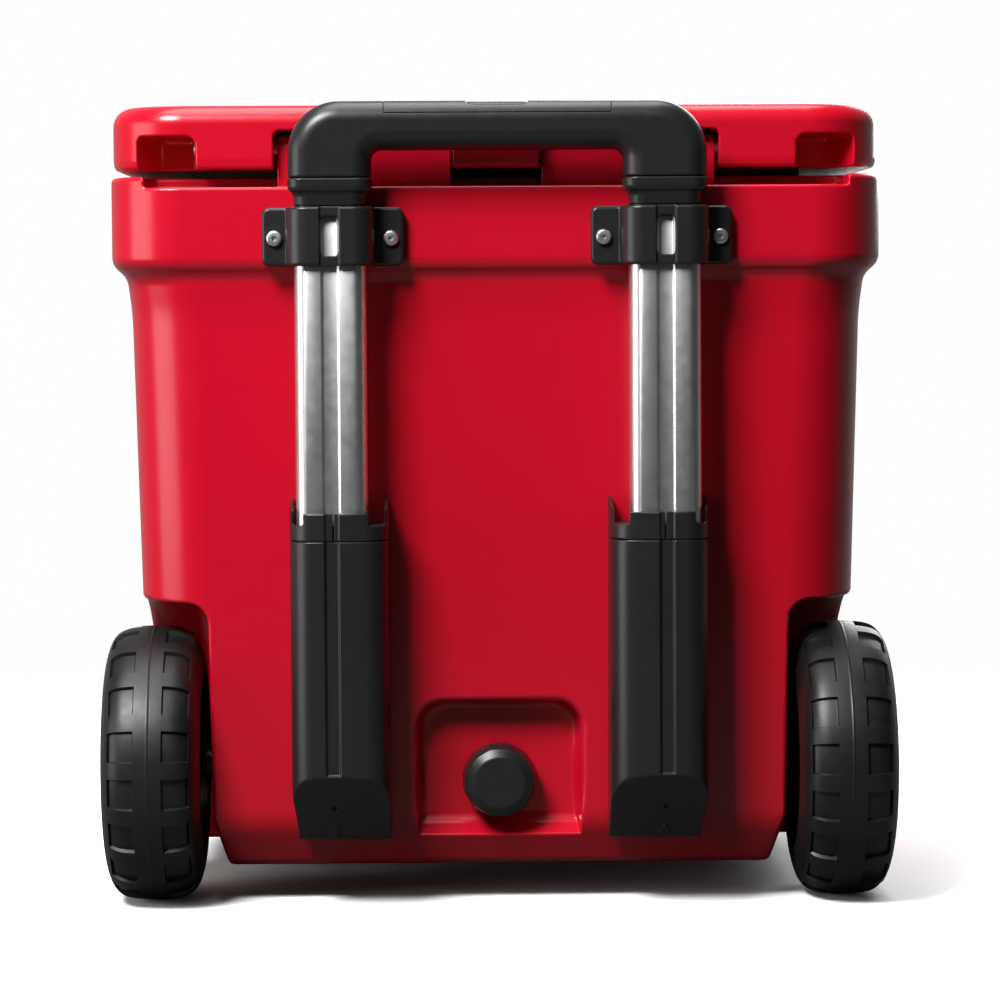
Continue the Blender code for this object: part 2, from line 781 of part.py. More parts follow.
def make_wheel(surfaces, word, side, pivot):
    centre = (0, WHEEL_Y, WHEEL_RADIUS)
    inner, outer = WHEEL_IN, WHEEL_OUT
    middle = (inner + outer) / 2
    tyre_profile = (
        (RIM_RADIUS, inner + 0.006),
        (WHEEL_RADIUS - 0.018, inner + 0.001),
        (WHEEL_RADIUS - 0.010, inner),
        (WHEEL_RADIUS - 0.0035, inner + 0.008),
        (WHEEL_RADIUS - 0.0007, inner + 0.019),
        (WHEEL_RADIUS, middle),
        (WHEEL_RADIUS - 0.0007, outer - 0.019),
        (WHEEL_RADIUS - 0.0035, outer - 0.008),
        (WHEEL_RADIUS - 0.010, outer),
        (WHEEL_RADIUS - 0.018, outer - 0.001),
        (RIM_RADIUS, outer - 0.006),
    )
    tyre = turned(f"tyre_{word}", mirrored(tyre_profile, side), "X", centre, 40)
    finish(tyre, surfaces["tyre"], pivot)
    bore = BUSH_RADIUS + GAP
    edge = RIM_RADIUS - GAP
    hub_profile = (
        (bore, inner + 0.004),
        (0.018, inner + 0.004),
        (0.024, inner + 0.020),
        (edge - 0.010, inner + 0.020),
        (edge - 0.008, inner + 0.007),
        (edge, inner + 0.007),
        (edge, outer - 0.007),
        (edge - 0.008, outer - 0.007),
        (edge - 0.011, outer - 0.018),
        (0.022, outer - 0.016),
        (0.0195, outer - 0.0085),
        (bore, outer - 0.0085),
    )
    hub = turned(f"hub_{word}", mirrored(hub_profile, side), "X", centre, 32)
    finish(hub, surfaces["black"], pivot)
    sleeve = ring_profile(AXLE_RADIUS + GAP, BUSH_RADIUS, inner + 0.004, outer - 0.0085)
    bush = turned(f"wheel_bush_{word}", mirrored(sleeve, side), "X", centre, 20)
    finish(bush, surfaces["black"], pivot)
    cap_profile = (
        (0, outer - 0.0022),
        (0.014, outer - 0.0026),
        (0.0185, outer - 0.0050),
        (0.0185, outer - 0.0082),
        (0.0160, outer - 0.0082),
        (0.0150, outer - 0.0045),
        (0, outer - 0.0045),
    )
    cap = turned(f"hub_cap_{word}", mirrored(cap_profile, side), "X", centre, 24)
    finish(cap, surfaces["black"], pivot)


def make_axles(surfaces):
    centre = (0, WHEEL_Y, WHEEL_RADIUS)
    for word, side in SIDES:
        end = WHEEL_OUT - 0.0052
        axle_profile = mirrored(((0, 0.1700), (AXLE_RADIUS, 0.1700), (AXLE_RADIUS, end), (0, end)), side)
        axle = turned(f"axle_{word}", axle_profile, "X", centre, 20)
        finish(axle, surfaces["steel"])
        spacer = ring_profile(AXLE_RADIUS + GAP, 0.0120, 0.1952, WHEEL_IN + 0.004 - GAP)
        finish(turned(f"axle_spacer_{word}", mirrored(spacer, side), "X", centre, 20), surfaces["black"])
        washer_start = WHEEL_OUT - 0.0085 + GAP
        washer = ring_profile(AXLE_RADIUS + GAP, 0.0120, washer_start, washer_start + 0.0015)
        finish(turned(f"axle_clip_{word}", mirrored(washer, side), "X", centre, 20), surfaces["steel"])


# ---------------------------------------------------------------- handle tubes


def tube_outline(side, width, depth, corner, groove=0.0, groove_width=GROOVE_WIDTH):
    """A rounded oblong with a shallow groove down its rear face."""
    middle = side * TUBE_X
    low = (middle - width / 2, TUBE_Y - depth / 2)
    high = (middle + width / 2, TUBE_Y + depth / 2)
    outline = rounded_box_outline(low, high, corner, 4)
    if groove:
        half = groove_width / 2
        dip = [
            (middle + half, high[1]),
            (middle + half - groove, high[1] - groove),
            (middle - half + groove, high[1] - groove),
            (middle - half, high[1]),
        ]
        outline = outline[:5] + dip + outline[5:]
    return outline


def hollow_tube(name, side, size, wall, low_z, top_z, groove=0.0):
    width, depth, corner = size
    outer = tube_outline(side, width, depth, corner, groove)
    narrow = (width - 2 * wall, depth - 2 * wall, corner - wall)
    inner = tube_outline(side, *narrow, groove)
    tube = prism(name, outer, "Z", low_z, top_z)
    return cut(tube, prism("bore", inner, "Z", low_z - 0.01, top_z + 0.01))


def tube_hole(name, side, width, depth, corner, low_z, top_z):
    clear = 2 * GAP
    outline = tube_outline(side, width + clear, depth + clear, corner)
    return prism(name, outline, "Z", low_z, top_z)


def make_tubes(surfaces, mid_pivot, grip_pivot):
    for word, side in SIDES:
        size = (TUBE_WIDTH, TUBE_DEPTH, TUBE_CORNER)
        reach = (TUBE_LOW_Z, TUBE_TOP_Z)
        outer = hollow_tube(f"outer_tube_{word}", side, size, TUBE_WALL, *reach, GROOVE_DEPTH)
        finish(outer, surfaces["aluminium"])
        size = (MID_WIDTH, MID_DEPTH, MID_CORNER)
        mid = hollow_tube(f"mid_tube_{word}", side, size, SLIDE_WALL, MID_LOW_Z, MID_TOP_Z)
        finish(mid, surfaces["aluminium"], mid_pivot)
        size = (INNER_WIDTH, INNER_DEPTH, INNER_CORNER)
        inner = hollow_tube(f"inner_tube_{word}", side, size, SLIDE_WALL, INNER_LOW_Z, INNER_TOP_Z)
        finish(inner, surfaces["aluminium"], grip_pivot)
        finish(mid_collar(word, side), surfaces["black"], mid_pivot)


def mid_collar(word, side):
    """The moulded ring on top of a mid tube, with a neck that tapers to the bracket."""
    rings = []
    for z, width, depth in (
        (BRACKET_TOP_Z + 0.0004, 0.0470, 0.0270),
        (0.4790, 0.0480, 0.0290),
        (BEAD_LOW_Z, 0.0545, 0.0345),
        (BEAD_LOW_Z + 0.002, 0.0560, 0.0360),
        (GRIP_LOW_Z - 0.002, 0.0560, 0.0360),
        (GRIP_LOW_Z - GAP, 0.0545, 0.0345),
    ):
        rings.append([(x, y, z) for x, y in tube_outline(side, width, depth, 0.010)])
    collar = loft(f"mid_collar_{word}", rings)
    lower = tube_hole("lower", side, MID_WIDTH, MID_DEPTH, MID_CORNER, 0.46, MID_TOP_Z + GAP)
    upper = tube_hole("upper", side, INNER_WIDTH, INNER_DEPTH, INNER_CORNER, 0.46, 0.50)
    return cut(collar, lower, upper)


# ---------------------------------------------------------------- handle brackets and housings


def bracket_plan(side):
    """Plan outline of a bracket: two ears either side of the guide's bulge."""
    bulge = BULGE_WIDTH / 2
    slope = 0.006
    middle = TUBE_X
    ear = REAR + EAR_DEPTH
    start = REAR + GAP
    points = [(BRACKET_IN, start), (BRACKET_OUT, start), (BRACKET_OUT, ear), (middle + bulge, ear)]
    points += [(middle + bulge, HANDLE_REAR - slope), (middle + bulge - slope, HANDLE_REAR)]
    points += [(middle - bulge + slope, HANDLE_REAR), (middle - bulge, HANDLE_REAR - slope)]
    points += [(middle - bulge, ear), (BRACKET_IN, ear)]
    return [(side * x, y) for x, y in points]


def screw_places():
    height = (BRACKET_LOW_Z + BRACKET_TOP_Z) / 2 - 0.001
    return [(side * x, height) for _, side in SIDES for x in (0.0705, 0.1478)]


def make_brackets(surfaces):
    for word, side in SIDES:
        bracket = prism(f"upper_bracket_{word}", bracket_plan(side), "Z", BRACKET_LOW_Z, BRACKET_TOP_Z)
        bevel(bracket, 0.0015, 1)
        low = BRACKET_LOW_Z - 0.01
        top = BRACKET_TOP_Z + 0.01
        cutters = [tube_hole("outer", side, TUBE_WIDTH, TUBE_DEPTH, TUBE_CORNER, low, TUBE_TOP_Z + GAP)]
        cutters.append(tube_hole("mid", side, MID_WIDTH, MID_DEPTH, MID_CORNER, low, top))
        window = (side * TUBE_X - 0.0065, TUBE_Y, BRACKET_LOW_Z + 0.006)
        window_top = (side * TUBE_X + 0.0065, HANDLE_REAR + 0.01, BRACKET_TOP_Z - 0.007)
        cutters.append(block("window", window, window_top))
        for x, z in screw_places():
            if x * side > 0:
                cutters.append(cylinder("hole", 0.0028, "Y", (x, 0, z), REAR - 0.01, REAR + 0.02, 12))
        cut(bracket, *cutters)
        finish(bracket, surfaces["black"])


def make_bracket_screws(surfaces):
    head = REAR + EAR_DEPTH + GAP
    for number, (x, z) in enumerate(screw_places(), 1):
        profile = (
            (0, REAR + 0.001),
            (0.0025, REAR + 0.001),
            (0.0025, head),
            (0.0053, head),
            (0.0053, head + 0.0010),
            (0.0036, head + 0.0030),
            (0.0020, head + 0.0030),
            (0.0020, head + 0.0008),
            (0, head + 0.0008),
        )
        screw = turned(f"bracket_screw_{number}", profile, "Y", (x, 0, z), 12)
        finish(screw, surfaces["steel"])


def housing_ring(side, z, back, face, edge=0.010, inset=0.0):
    """Plan outline of a housing at one height, with its two rear corners cut off."""
    inner, outer = HOUSING_IN + inset, HOUSING_OUT - inset
    near, far = edge * 0.3, edge * 0.8
    points = [(inner, back), (outer, back), (outer, face - far), (outer - near, face - near)]
    points += [(outer - edge, face), (inner + edge, face)]
    points += [(inner + near, face - near), (inner, face - far)]
    return [(side * x, y, z) for x, y in points]


def housing_back(z):
    return tub_wall(z)[2] + 0.0004


def make_housings(surfaces):
    for word, side in SIDES:
        base_back = housing_back(CHAMFER_Z)
        base_face = base_back + 0.012
        rings = [housing_ring(side, HOUSING_LOW_Z, base_back, base_face, 0.006, 0.004)]
        rings.append(housing_ring(side, CHAMFER_Z, base_back, base_face + 0.006, 0.007, 0.001))
        rings.append(housing_ring(side, RAMP_TOP_Z, housing_back(RAMP_TOP_Z), HANDLE_REAR))
        rings.append(housing_ring(side, HOUSING_TOP_Z, housing_back(HOUSING_TOP_Z), HANDLE_REAR))
        housing = loft(f"housing_{word}", rings)
        low, top = TUBE_LOW_Z - GAP, HOUSING_TOP_Z + 0.02
        socket = tube_hole("socket", side, TUBE_WIDTH, TUBE_DEPTH, TUBE_CORNER, low, top)
        low = (side * TUBE_X - 0.004, HANDLE_REAR - 0.002, RAMP_TOP_Z + 0.0005)
        groove = block("groove", low, (side * TUBE_X + 0.004, HANDLE_REAR + 0.01, top))
        cut(housing, socket, groove)
        finish(housing, surfaces["black"])
        make_housing_collar(surfaces, word, side)


def make_housing_collar(surfaces, word, side):
    """The collar that closes a housing round the tube. Its top slopes down to the rear."""
    low, top = HOUSING_TOP_Z + GAP, HOUSING_COLLAR_TOP_Z
    rings = [housing_ring(side, low, housing_back(low), HANDLE_REAR)]
    rings.append(housing_ring(side, top, housing_back(top), HANDLE_REAR, inset=0.001))
    drop = 0.008
    face = HANDLE_REAR - REAR
    rings[1] = [(x, y, z - drop * max(0.0, y - REAR) / face) for x, y, z in rings[1]]
    collar = loft(f"housing_collar_{word}", rings)
    cut(collar, tube_hole("hole", side, TUBE_WIDTH, TUBE_DEPTH, TUBE_CORNER, low - 0.01, top + 0.01))
    finish(collar, surfaces["black"])


# ---------------------------------------------------------------- grip


def grip_outline():
    """Rear outline of the grip: a bar between two legs."""
    right = arc((GRIP_OUT - GRIP_CORNER, GRIP_TOP_Z - GRIP_CORNER), GRIP_CORNER, 0, 90, 6)
    left = [(-x, z) for x, z in reversed(right)]
    hollow = [(-GRIP_IN, GRIP_LOW_Z), (-GRIP_IN, GRIP_UNDER_Z - 0.005), (-GRIP_IN + 0.005, GRIP_UNDER_Z)]
    hollow += [(-x, z) for x, z in reversed(hollow)]
    return [(GRIP_OUT, GRIP_LOW_Z)] + right + left + [(-GRIP_OUT, GRIP_LOW_Z)] + hollow


def grip_channel():
    """The grip's inside: a channel for the yoke and a socket in each leg for a tube."""
    half = YOKE_HALF + 0.003
    front, rear = TUBE_Y - 0.0075, TUBE_Y + 0.0075
    channel = block("channel", (-half, front, CHANNEL_LOW_Z), (half, rear, COVER_LOW_Z - 0.002))
    opening = block("opening", (-0.060, front, CHANNEL_LOW_Z + 0.002), (0.060, rear, GRIP_TOP_Z))
    spring_seat = cylinder("seat", 0.0045, "Z", (0, TUBE_Y, 0), 0.5105, 0.5150, 16)
    size = (INNER_WIDTH, INNER_DEPTH, INNER_CORNER)
    low, top = GRIP_LOW_Z - 0.01, CHANNEL_LOW_Z + 0.001
    sockets = [tube_hole("socket", side, *size, low, top) for _, side in SIDES]
    return join(channel, opening, spring_seat, *sockets)


def make_grip(surfaces, pivot):
    front, rear = REAR, HANDLE_REAR
    body = bevel(prism("grip_body", grip_outline(), "Y", front, rear), 0.006, 2, 40)
    whole = bevel(prism("grip_top_cover", grip_outline(), "Y", front, rear), 0.006, 2, 40)
    low = (-COVER_HALF, front - 0.01, COVER_LOW_Z)
    high = (COVER_HALF, rear + 0.01, GRIP_TOP_Z + 0.01)
    cut(body, block("upper", low, high), grip_channel())
    finish(body, surfaces["black"], pivot)
    low = (-COVER_HALF + GAP, front - 0.01, COVER_LOW_Z + GAP)
    high = (COVER_HALF - GAP, rear + 0.01, GRIP_TOP_Z + 0.01)
    combine(whole, [block("upper", low, high)], "INTERSECT")
    opening = button_block("opening", GAP, COVER_LOW_Z - 0.01, GRIP_TOP_Z + 0.01)
    cut(whole, opening)
    finish(whole, surfaces["black"], pivot)


def button_block(name, outset, low_z, top_z):
    half = BUTTON_HALF + outset
    reach = BUTTON_DEPTH / 2 + outset
    outline = rounded_box_outline((-half, TUBE_Y - reach), (half, TUBE_Y + reach), 0.004, 3)
    return prism(name, outline, "Z", low_z, top_z)


def make_button(surfaces, pivot):
    skirt_z = COVER_LOW_Z + BUTTON_TRAVEL + 2 * GAP
    button = button_block("grip_button", -GAP, skirt_z, GRIP_TOP_Z - GAP)
    low = (-0.010, TUBE_Y - 0.005, YOKE_LOW_Z + YOKE_THICK + GAP)
    stem = block("stem", low, (0.010, TUBE_Y + 0.005, skirt_z + 0.001))
    finish(join(button, stem), surfaces["black"], pivot)
    low = (-YOKE_HALF, TUBE_Y - 0.005, YOKE_LOW_Z)
    yoke = block("release_yoke", low, (YOKE_HALF, TUBE_Y + 0.005, YOKE_LOW_Z + YOKE_THICK))
    finish(yoke, surfaces["steel"], pivot)
    for word, side in SIDES:
        place = (side * TUBE_X, TUBE_Y, 0)
        rod = cylinder(f"release_rod_{word}", 0.002, "Z", place, 0.110, YOKE_LOW_Z - GAP, 10)
        finish(rod, surfaces["steel"], pivot)
    finish(button_spring(), surfaces["steel"], pivot)


def button_spring():
    """A coil spring under the yoke."""
    wire, radius, turns, sides, steps = 0.00035, 0.0030, 3, 6, 10
    low, top = 0.5108 + wire, YOKE_LOW_Z - GAP - wire
    rings = []
    for i in range(turns * steps + 1):
        share = i / (turns * steps)
        angle = 2 * math.pi * turns * share
        outward = Vector((math.cos(angle), math.sin(angle), 0))
        middle = Vector((0, TUBE_Y, low + (top - low) * share)) + radius * outward
        rings.append(
            [
                middle + wire * (math.cos(t) * outward + math.sin(t) * Vector((0, 0, 1)))
                for t in (2 * math.pi * k / sides for k in range(sides))
            ]
        )
    return loft("button_spring", rings)


# ---------------------------------------------------------------- the whole object


def make_pivots():
    return {
        "lid": pivot_at("lid_pivot", (0, HINGE_Y, HINGE_Z)),
        "latch_left": pivot_at("latch_pivot_left", (LATCH_X, LATCH_PIN_Y, LATCH_PIN_Z)),
        "latch_right": pivot_at("latch_pivot_right", (-LATCH_X, LATCH_PIN_Y, LATCH_PIN_Z)),
        "drain": pivot_at("drain_pivot", (0, RECESS_FLOOR_Y, DRAIN_Z)),
        "wheel_left": pivot_at("wheel_pivot_left", (WHEEL_IN, WHEEL_Y, WHEEL_RADIUS)),
        "wheel_right": pivot_at("wheel_pivot_right", (-WHEEL_IN, WHEEL_Y, WHEEL_RADIUS)),
        "mid": pivot_at("mid_stage_pivot", (0, TUBE_Y, BRACKET_TOP_Z)),
        "grip": pivot_at("grip_pivot", (0, TUBE_Y, GRIP_LOW_Z)),
        "button": pivot_at("button_pivot", (0, TUBE_Y, GRIP_TOP_Z)),
    }


def main():
    clear_scene()
    surfaces = make_materials()
    pivots = make_pivots()
    make_tub_shell(surfaces)
    make_tub_liner(surfaces)
    make_tub_foam(surfaces)
    make_feet(surfaces)
    make_hinge_rod(surfaces)
    make_keepers(surfaces)
    make_lid(surfaces, pivots["lid"])
    make_latches(surfaces, {word: pivots[f"latch_{word}"] for word, _ in SIDES}, pivots["lid"])
    make_drain(surfaces, pivots["drain"])
    for word, side in SIDES:
        make_wheel(surfaces, word, side, pivots[f"wheel_{word}"])
    make_axles(surfaces)
    make_tubes(surfaces, pivots["mid"], pivots["grip"])
    make_brackets(surfaces)
    make_bracket_screws(surfaces)
    make_housings(surfaces)
    make_grip(surfaces, pivots["grip"])
    make_button(surfaces, pivots["button"])


main()
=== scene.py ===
"""Looks for the wheeled hard cooler chest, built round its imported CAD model.

Each moulded part is described by a distance field: a function that is negative inside the
part and positive outside. Fields are joined, cut and rounded with a few small helpers, and
the surface where a field is zero becomes the part's mesh. Turned parts and the tyres are
built from profiles. All sizes are in metres, in the frame of the CAD model: the rear, with
the handle, faces +Y, left as seen from behind is +X, and the floor is at Z = 0.
"""

import json
import math

import bpy
import numpy as np
from mathutils import Matrix, Vector


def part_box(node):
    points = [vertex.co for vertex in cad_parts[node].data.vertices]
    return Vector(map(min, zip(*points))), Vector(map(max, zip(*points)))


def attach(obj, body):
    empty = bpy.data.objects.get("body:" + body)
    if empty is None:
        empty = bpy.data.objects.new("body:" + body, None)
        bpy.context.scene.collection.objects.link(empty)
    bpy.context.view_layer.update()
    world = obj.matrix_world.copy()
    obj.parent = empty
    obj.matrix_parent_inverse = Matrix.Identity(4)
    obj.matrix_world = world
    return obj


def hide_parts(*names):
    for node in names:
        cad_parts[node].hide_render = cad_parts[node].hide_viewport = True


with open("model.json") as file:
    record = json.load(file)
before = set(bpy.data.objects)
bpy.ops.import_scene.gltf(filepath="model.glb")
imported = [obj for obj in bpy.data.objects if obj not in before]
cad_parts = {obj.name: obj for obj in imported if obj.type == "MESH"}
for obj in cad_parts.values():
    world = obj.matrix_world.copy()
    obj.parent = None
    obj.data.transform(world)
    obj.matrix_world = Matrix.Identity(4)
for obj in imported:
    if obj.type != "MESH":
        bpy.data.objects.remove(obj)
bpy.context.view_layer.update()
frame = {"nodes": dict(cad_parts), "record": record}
SIDES = (("left", 1), ("right", -1))
MM = 0.001

# Places taken from the CAD model
TUB_LOW, TUB_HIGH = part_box("tub_shell")
LID_BOX_LOW, LID_BOX_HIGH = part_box("lid_shell")
ROD_LOW, ROD_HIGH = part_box("hinge_rod")
TYRE_LOW, TYRE_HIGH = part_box("tyre_left")
HOUSING_LOW, HOUSING_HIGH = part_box("housing_left")
COLLAR_LOW, COLLAR_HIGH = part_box("housing_collar_left")
BRACKET_LOW, BRACKET_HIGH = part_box("upper_bracket_left")
TUBE_LOW, TUBE_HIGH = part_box("outer_tube_left")
GRIP_LOW, GRIP_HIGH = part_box("grip_body")
COVER_LOW, COVER_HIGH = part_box("grip_top_cover")
PLUG_LOW, PLUG_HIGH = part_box("drain_plug")
KEEPER_LOW, KEEPER_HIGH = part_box("latch_keeper_left")
PIN_LOW, PIN_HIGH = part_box("latch_pin_left")

GAP = 0.3 * MM
REAR = TUB_HIGH.y
FRONT = TUB_LOW.y

# Tub
BASE_Z = TUB_LOW.z
CHAMFER_Z = BASE_Z + 30.5 * MM
COVE_Z = 0.412
COLLAR_LOW_Z = 0.4345
RIM_Z = 0.4925
SHELF_Z = 0.4850
SHELF_HALF = 0.235
COLLAR_HALF = TUB_HIGH.x
TUB_TOP_HALF = COLLAR_HALF - 12 * MM
TUB_LOW_HALF = COLLAR_HALF - 20.8 * MM
TUB_TOP_INSET = 10.5 * MM
TUB_LOW_INSET = 22 * MM
BASE_IN = 19 * MM
CORNER = 50 * MM

# Storage space
LINER_LOW, LINER_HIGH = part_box("tub_liner")
WALL = 4 * MM
FLOOR_Z = LINER_LOW.z + WALL
MOUTH_HALF = LINER_HIGH.x - WALL
MOUTH_FRONT = LINER_LOW.y + WALL
MOUTH_REAR = LINER_HIGH.y - WALL
FLOOR_DRAFT = 13.5 * MM
MOUTH_CORNER = 40 * MM
HUMP_WALL = 30 * MM
FOAM_INSET = 10 * MM

# Lid
LID_LOW_Z = RIM_Z + 5 * MM
LID_TOP_Z = LID_BOX_HIGH.z
LID_PLUG_LOW_Z = LID_BOX_LOW.z
LID_HALF = LID_BOX_HIGH.x + 1 * MM
LID_FILLET = 13 * MM
PLUG_CLEAR = 5 * MM

# Lid hinge
ROD_RADIUS = (ROD_HIGH.z - ROD_LOW.z) / 2
HINGE_Y = (ROD_LOW.y + ROD_HIGH.y) / 2
HINGE_Z = (ROD_LOW.z + ROD_HIGH.z) / 2
KNUCKLE_RADIUS = TUB_HIGH.z - HINGE_Z
KNUCKLE_IN, KNUCKLE_OUT = 30.5 * MM, 147 * MM
SLOT_IN, SLOT_OUT = 29 * MM, 149 * MM
SLOT_TOP_Z = HINGE_Z + 11.5 * MM
SLOT_FRONT = HINGE_Y - 14.5 * MM
POCKET_IN, POCKET_OUT = 200.8 * MM, 244 * MM
POCKET_TOP_Z = HINGE_Z + 8 * MM

# Wheels
WHEEL_RADIUS = (TYRE_HIGH.z - TYRE_LOW.z) / 2
WHEEL_Y = (TYRE_LOW.y + TYRE_HIGH.y) / 2
WHEEL_Z = (TYRE_LOW.z + TYRE_HIGH.z) / 2
WHEEL_IN, WHEEL_OUT = TYRE_LOW.x, TYRE_HIGH.x
RIM_RADIUS = 60 * MM
WELL_RADIUS = WHEEL_RADIUS + 16 * MM
WELL_TOP_Z = WHEEL_Z + WHEEL_RADIUS + 18 * MM
WELL_HALF_TOP = 196 * MM
WELL_HALF_LOW = 193.5 * MM
POCKET_COUNT = 18

# Drain
DRAIN_Z = (PLUG_LOW.z + PLUG_HIGH.z) / 2
RECESS_HALF = 56.2 * MM
RECESS_TOP_Z = 139 * MM
RECESS_LOW_Z = 47 * MM
RECESS_FLOOR_Y = REAR - 40 * MM
RECESS_CORNER = 18 * MM
BUSHING_RADIUS = 13.2 * MM
PLUG_RADIUS = 25.5 * MM
PLUG_FACE_RADIUS = 16.8 * MM
PLUG_FACETS = 12

# Telescoping handle
TUBE_X = (TUBE_LOW.x + TUBE_HIGH.x) / 2
TUBE_Y = (TUBE_LOW.y + TUBE_HIGH.y) / 2
TUBE_HALF = (TUBE_HIGH.x - TUBE_LOW.x) / 2
TUBE_REACH = (TUBE_HIGH.y - TUBE_LOW.y) / 2
HANDLE_REAR = GRIP_HIGH.y
HANDLE_MIDDLE_Y = (REAR + HANDLE_REAR) / 2
EAR_DEPTH = 9 * MM
BULGE_HALF = 29 * MM
WINDOW_HALF = 6.5 * MM
RAMP_TOP_Z = 94.5 * MM
GRIP_UNDER_Z = GRIP_LOW.z + 18 * MM
GRIP_IN = 83 * MM
GRIP_CORNER = 34 * MM
BUTTON_HALF = 20 * MM
BUTTON_REACH = 12.5 * MM

# Latches
LATCH_X = (PIN_LOW.x + PIN_HIGH.x) / 2
LATCH_PIN_Y = (PIN_LOW.y + PIN_HIGH.y) / 2
LATCH_PIN_Z = (PIN_LOW.z + PIN_HIGH.z) / 2
LATCH_RECESS_HALF = 25 * MM


# ---------------------------------------------------------------- distance fields


def oblong(across, along, half_across, half_along, radius):
    """Distance to a rectangle with round corners, centred on zero."""
    beyond_across = np.abs(across) - half_across + radius
    beyond_along = np.abs(along) - half_along + radius
    outside = np.hypot(np.maximum(beyond_across, 0), np.maximum(beyond_along, 0))
    return outside + np.minimum(np.maximum(beyond_across, beyond_along), 0) - radius


def span(value, low, high):
    """Distance to the slab between two places along one axis."""
    return np.abs(value - (low + high) / 2) - (high - low) / 2


def both(first, second, radius):
    """What lies in both shapes, with the edge between them rounded."""
    corner = np.hypot(np.maximum(first + radius, 0), np.maximum(second + radius, 0))
    return np.minimum(-radius, np.maximum(first, second)) + corner


def either(first, second, radius):
    """Both shapes together, with a fillet where they meet."""
    return -both(-first, -second, radius)


def without(shape, cutter, radius):
    """The shape with the cutter taken away, with the new edge rounded."""
    return both(shape, -cutter, radius)


def swell(value):
    """An S-shaped step from 0 to 1."""
    value = np.clip(value, 0, 1)
    return value * value * (3 - 2 * value)


def eased_path(points, radius, steps=8):
    """A polyline's coordinates as two arrays, with its inner corners rounded."""
    points = [Vector(p) for p in points]
    path = [points[0]]
    for before, corner, after in zip(points, points[1:], points[2:]):
        reach = min(radius, (before - corner).length * 0.48, (after - corner).length * 0.48)
        start = corner + (before - corner).normalized() * reach
        end = corner + (after - corner).normalized() * reach
        for step in range(steps + 1):
            share = step / steps
            path.append(start.lerp(corner, share).lerp(corner.lerp(end, share), share))
    path.append(points[-1])
    return np.array([p[0] for p in path]), np.array([p[1] for p in path])


# ---------------------------------------------------------------- meshes from fields

CELL_CORNERS = [(a, b, c) for a in (0, 1) for b in (0, 1) for c in (0, 1)]
CELL_EDGES = [
    (p, q) for p in CELL_CORNERS for q in CELL_CORNERS if p < q and sum(np.abs(np.subtract(p, q))) == 1
]


def ticks(low, high, coarse, fine=()):
    """Grid places from low to high, closer together in the fine spans (start, end, step)."""
    places = [low]
    while places[-1] < high:
        here = places[-1]
        steps = [step for start, end, step in fine if start - coarse <= here <= end]
        places.append(here + min([coarse, *steps]))
    return np.array(places)


def mirrored_ticks(places):
    return np.concatenate([-places[:0:-1], places])


def surface_net(values, axes):
    """Points and four-sided faces of the surface where the values change sign."""
    solid = values < 0
    shape = np.array(solid.shape)
    filled = np.zeros(shape - 1, np.uint8)
    for a, b, c in CELL_CORNERS:
        filled += solid[a : shape[0] - 1 + a, b : shape[1] - 1 + b, c : shape[2] - 1 + c]
    cells = np.argwhere((filled > 0) & (filled < 8))
    number = np.full(shape - 1, -1, np.int32)
    number[tuple(cells.T)] = np.arange(len(cells))
    total, count = np.zeros((len(cells), 3)), np.zeros(len(cells))
    for start, end in CELL_EDGES:
        ends = [cells + start, cells + end]
        low, high = (values[tuple(corner.T)] for corner in ends)
        crossed = (low < 0) != (high < 0)
        share = np.where(crossed, low / np.where(crossed, low - high, 1), 0)
        places = [np.stack([axes[k][corner[:, k]] for k in range(3)], 1) for corner in ends]
        total += crossed[:, None] * (places[0] + share[:, None] * (places[1] - places[0]))
        count += crossed
    return total / count[:, None], net_faces(solid, number)


def net_faces(solid, number):
    """One face across each grid edge that passes through the surface."""
    faces = []
    for axis in range(3):
        turned = [axis, (axis + 1) % 3, (axis + 2) % 3]
        grid, cell = solid.transpose(turned), number.transpose(turned)
        low, high = grid[:-1, 1:-1, 1:-1], grid[1:, 1:-1, 1:-1]
        i, j, k = np.nonzero(low != high)
        around = [cell[i, j, k], cell[i, j + 1, k], cell[i, j + 1, k + 1], cell[i, j, k + 1]]
        loop = np.stack(around, 1)
        inward = ~low[i, j, k]
        loop[inward] = loop[inward][:, ::-1]
        faces.append(loop)
    return np.concatenate(faces)


def settle(points, field, rounds=5, step=0.05 * MM, most=1.5 * MM):
    """Moves the points onto the field's surface, and returns them with its normals there."""
    for _ in range(rounds):
        value = field(*points.T)
        slope = np.stack(
            [(field(*(points + d).T) - field(*(points - d).T)) / (2 * step) for d in np.eye(3) * step], 1
        )
        steepness = np.maximum(np.linalg.norm(slope, axis=1), 1e-6)[:, None]
        move = np.clip(value[:, None] / steepness, -most, most)
        points = points - move * slope / steepness
    return points, slope / steepness


def mesh_object(name, points, faces, normals=None):
    mesh = bpy.data.meshes.new(name)
    mesh.from_pydata(points.tolist(), [], faces.tolist())
    mesh.update()
    mesh.shade_smooth()
    if normals is not None:
        mesh.normals_split_custom_set_from_vertices(normals.tolist())
    made = bpy.data.objects.new(name, mesh)
    bpy.context.scene.collection.objects.link(made)
    return made


def moulded(name, field, xs, ys, zs):
    """The object whose surface is where the field is zero, sampled at the given places."""
    axes = (xs, ys, zs)
    values = field(xs[:, None, None], ys[None, :, None], zs[None, None, :])
    values = np.broadcast_to(values, [len(axis) for axis in axes])
    points, faces = surface_net(values, axes)
    points, normals = settle(points, field)
    made = mesh_object(name, points, faces, normals)
    made["normals"] = True
    return made


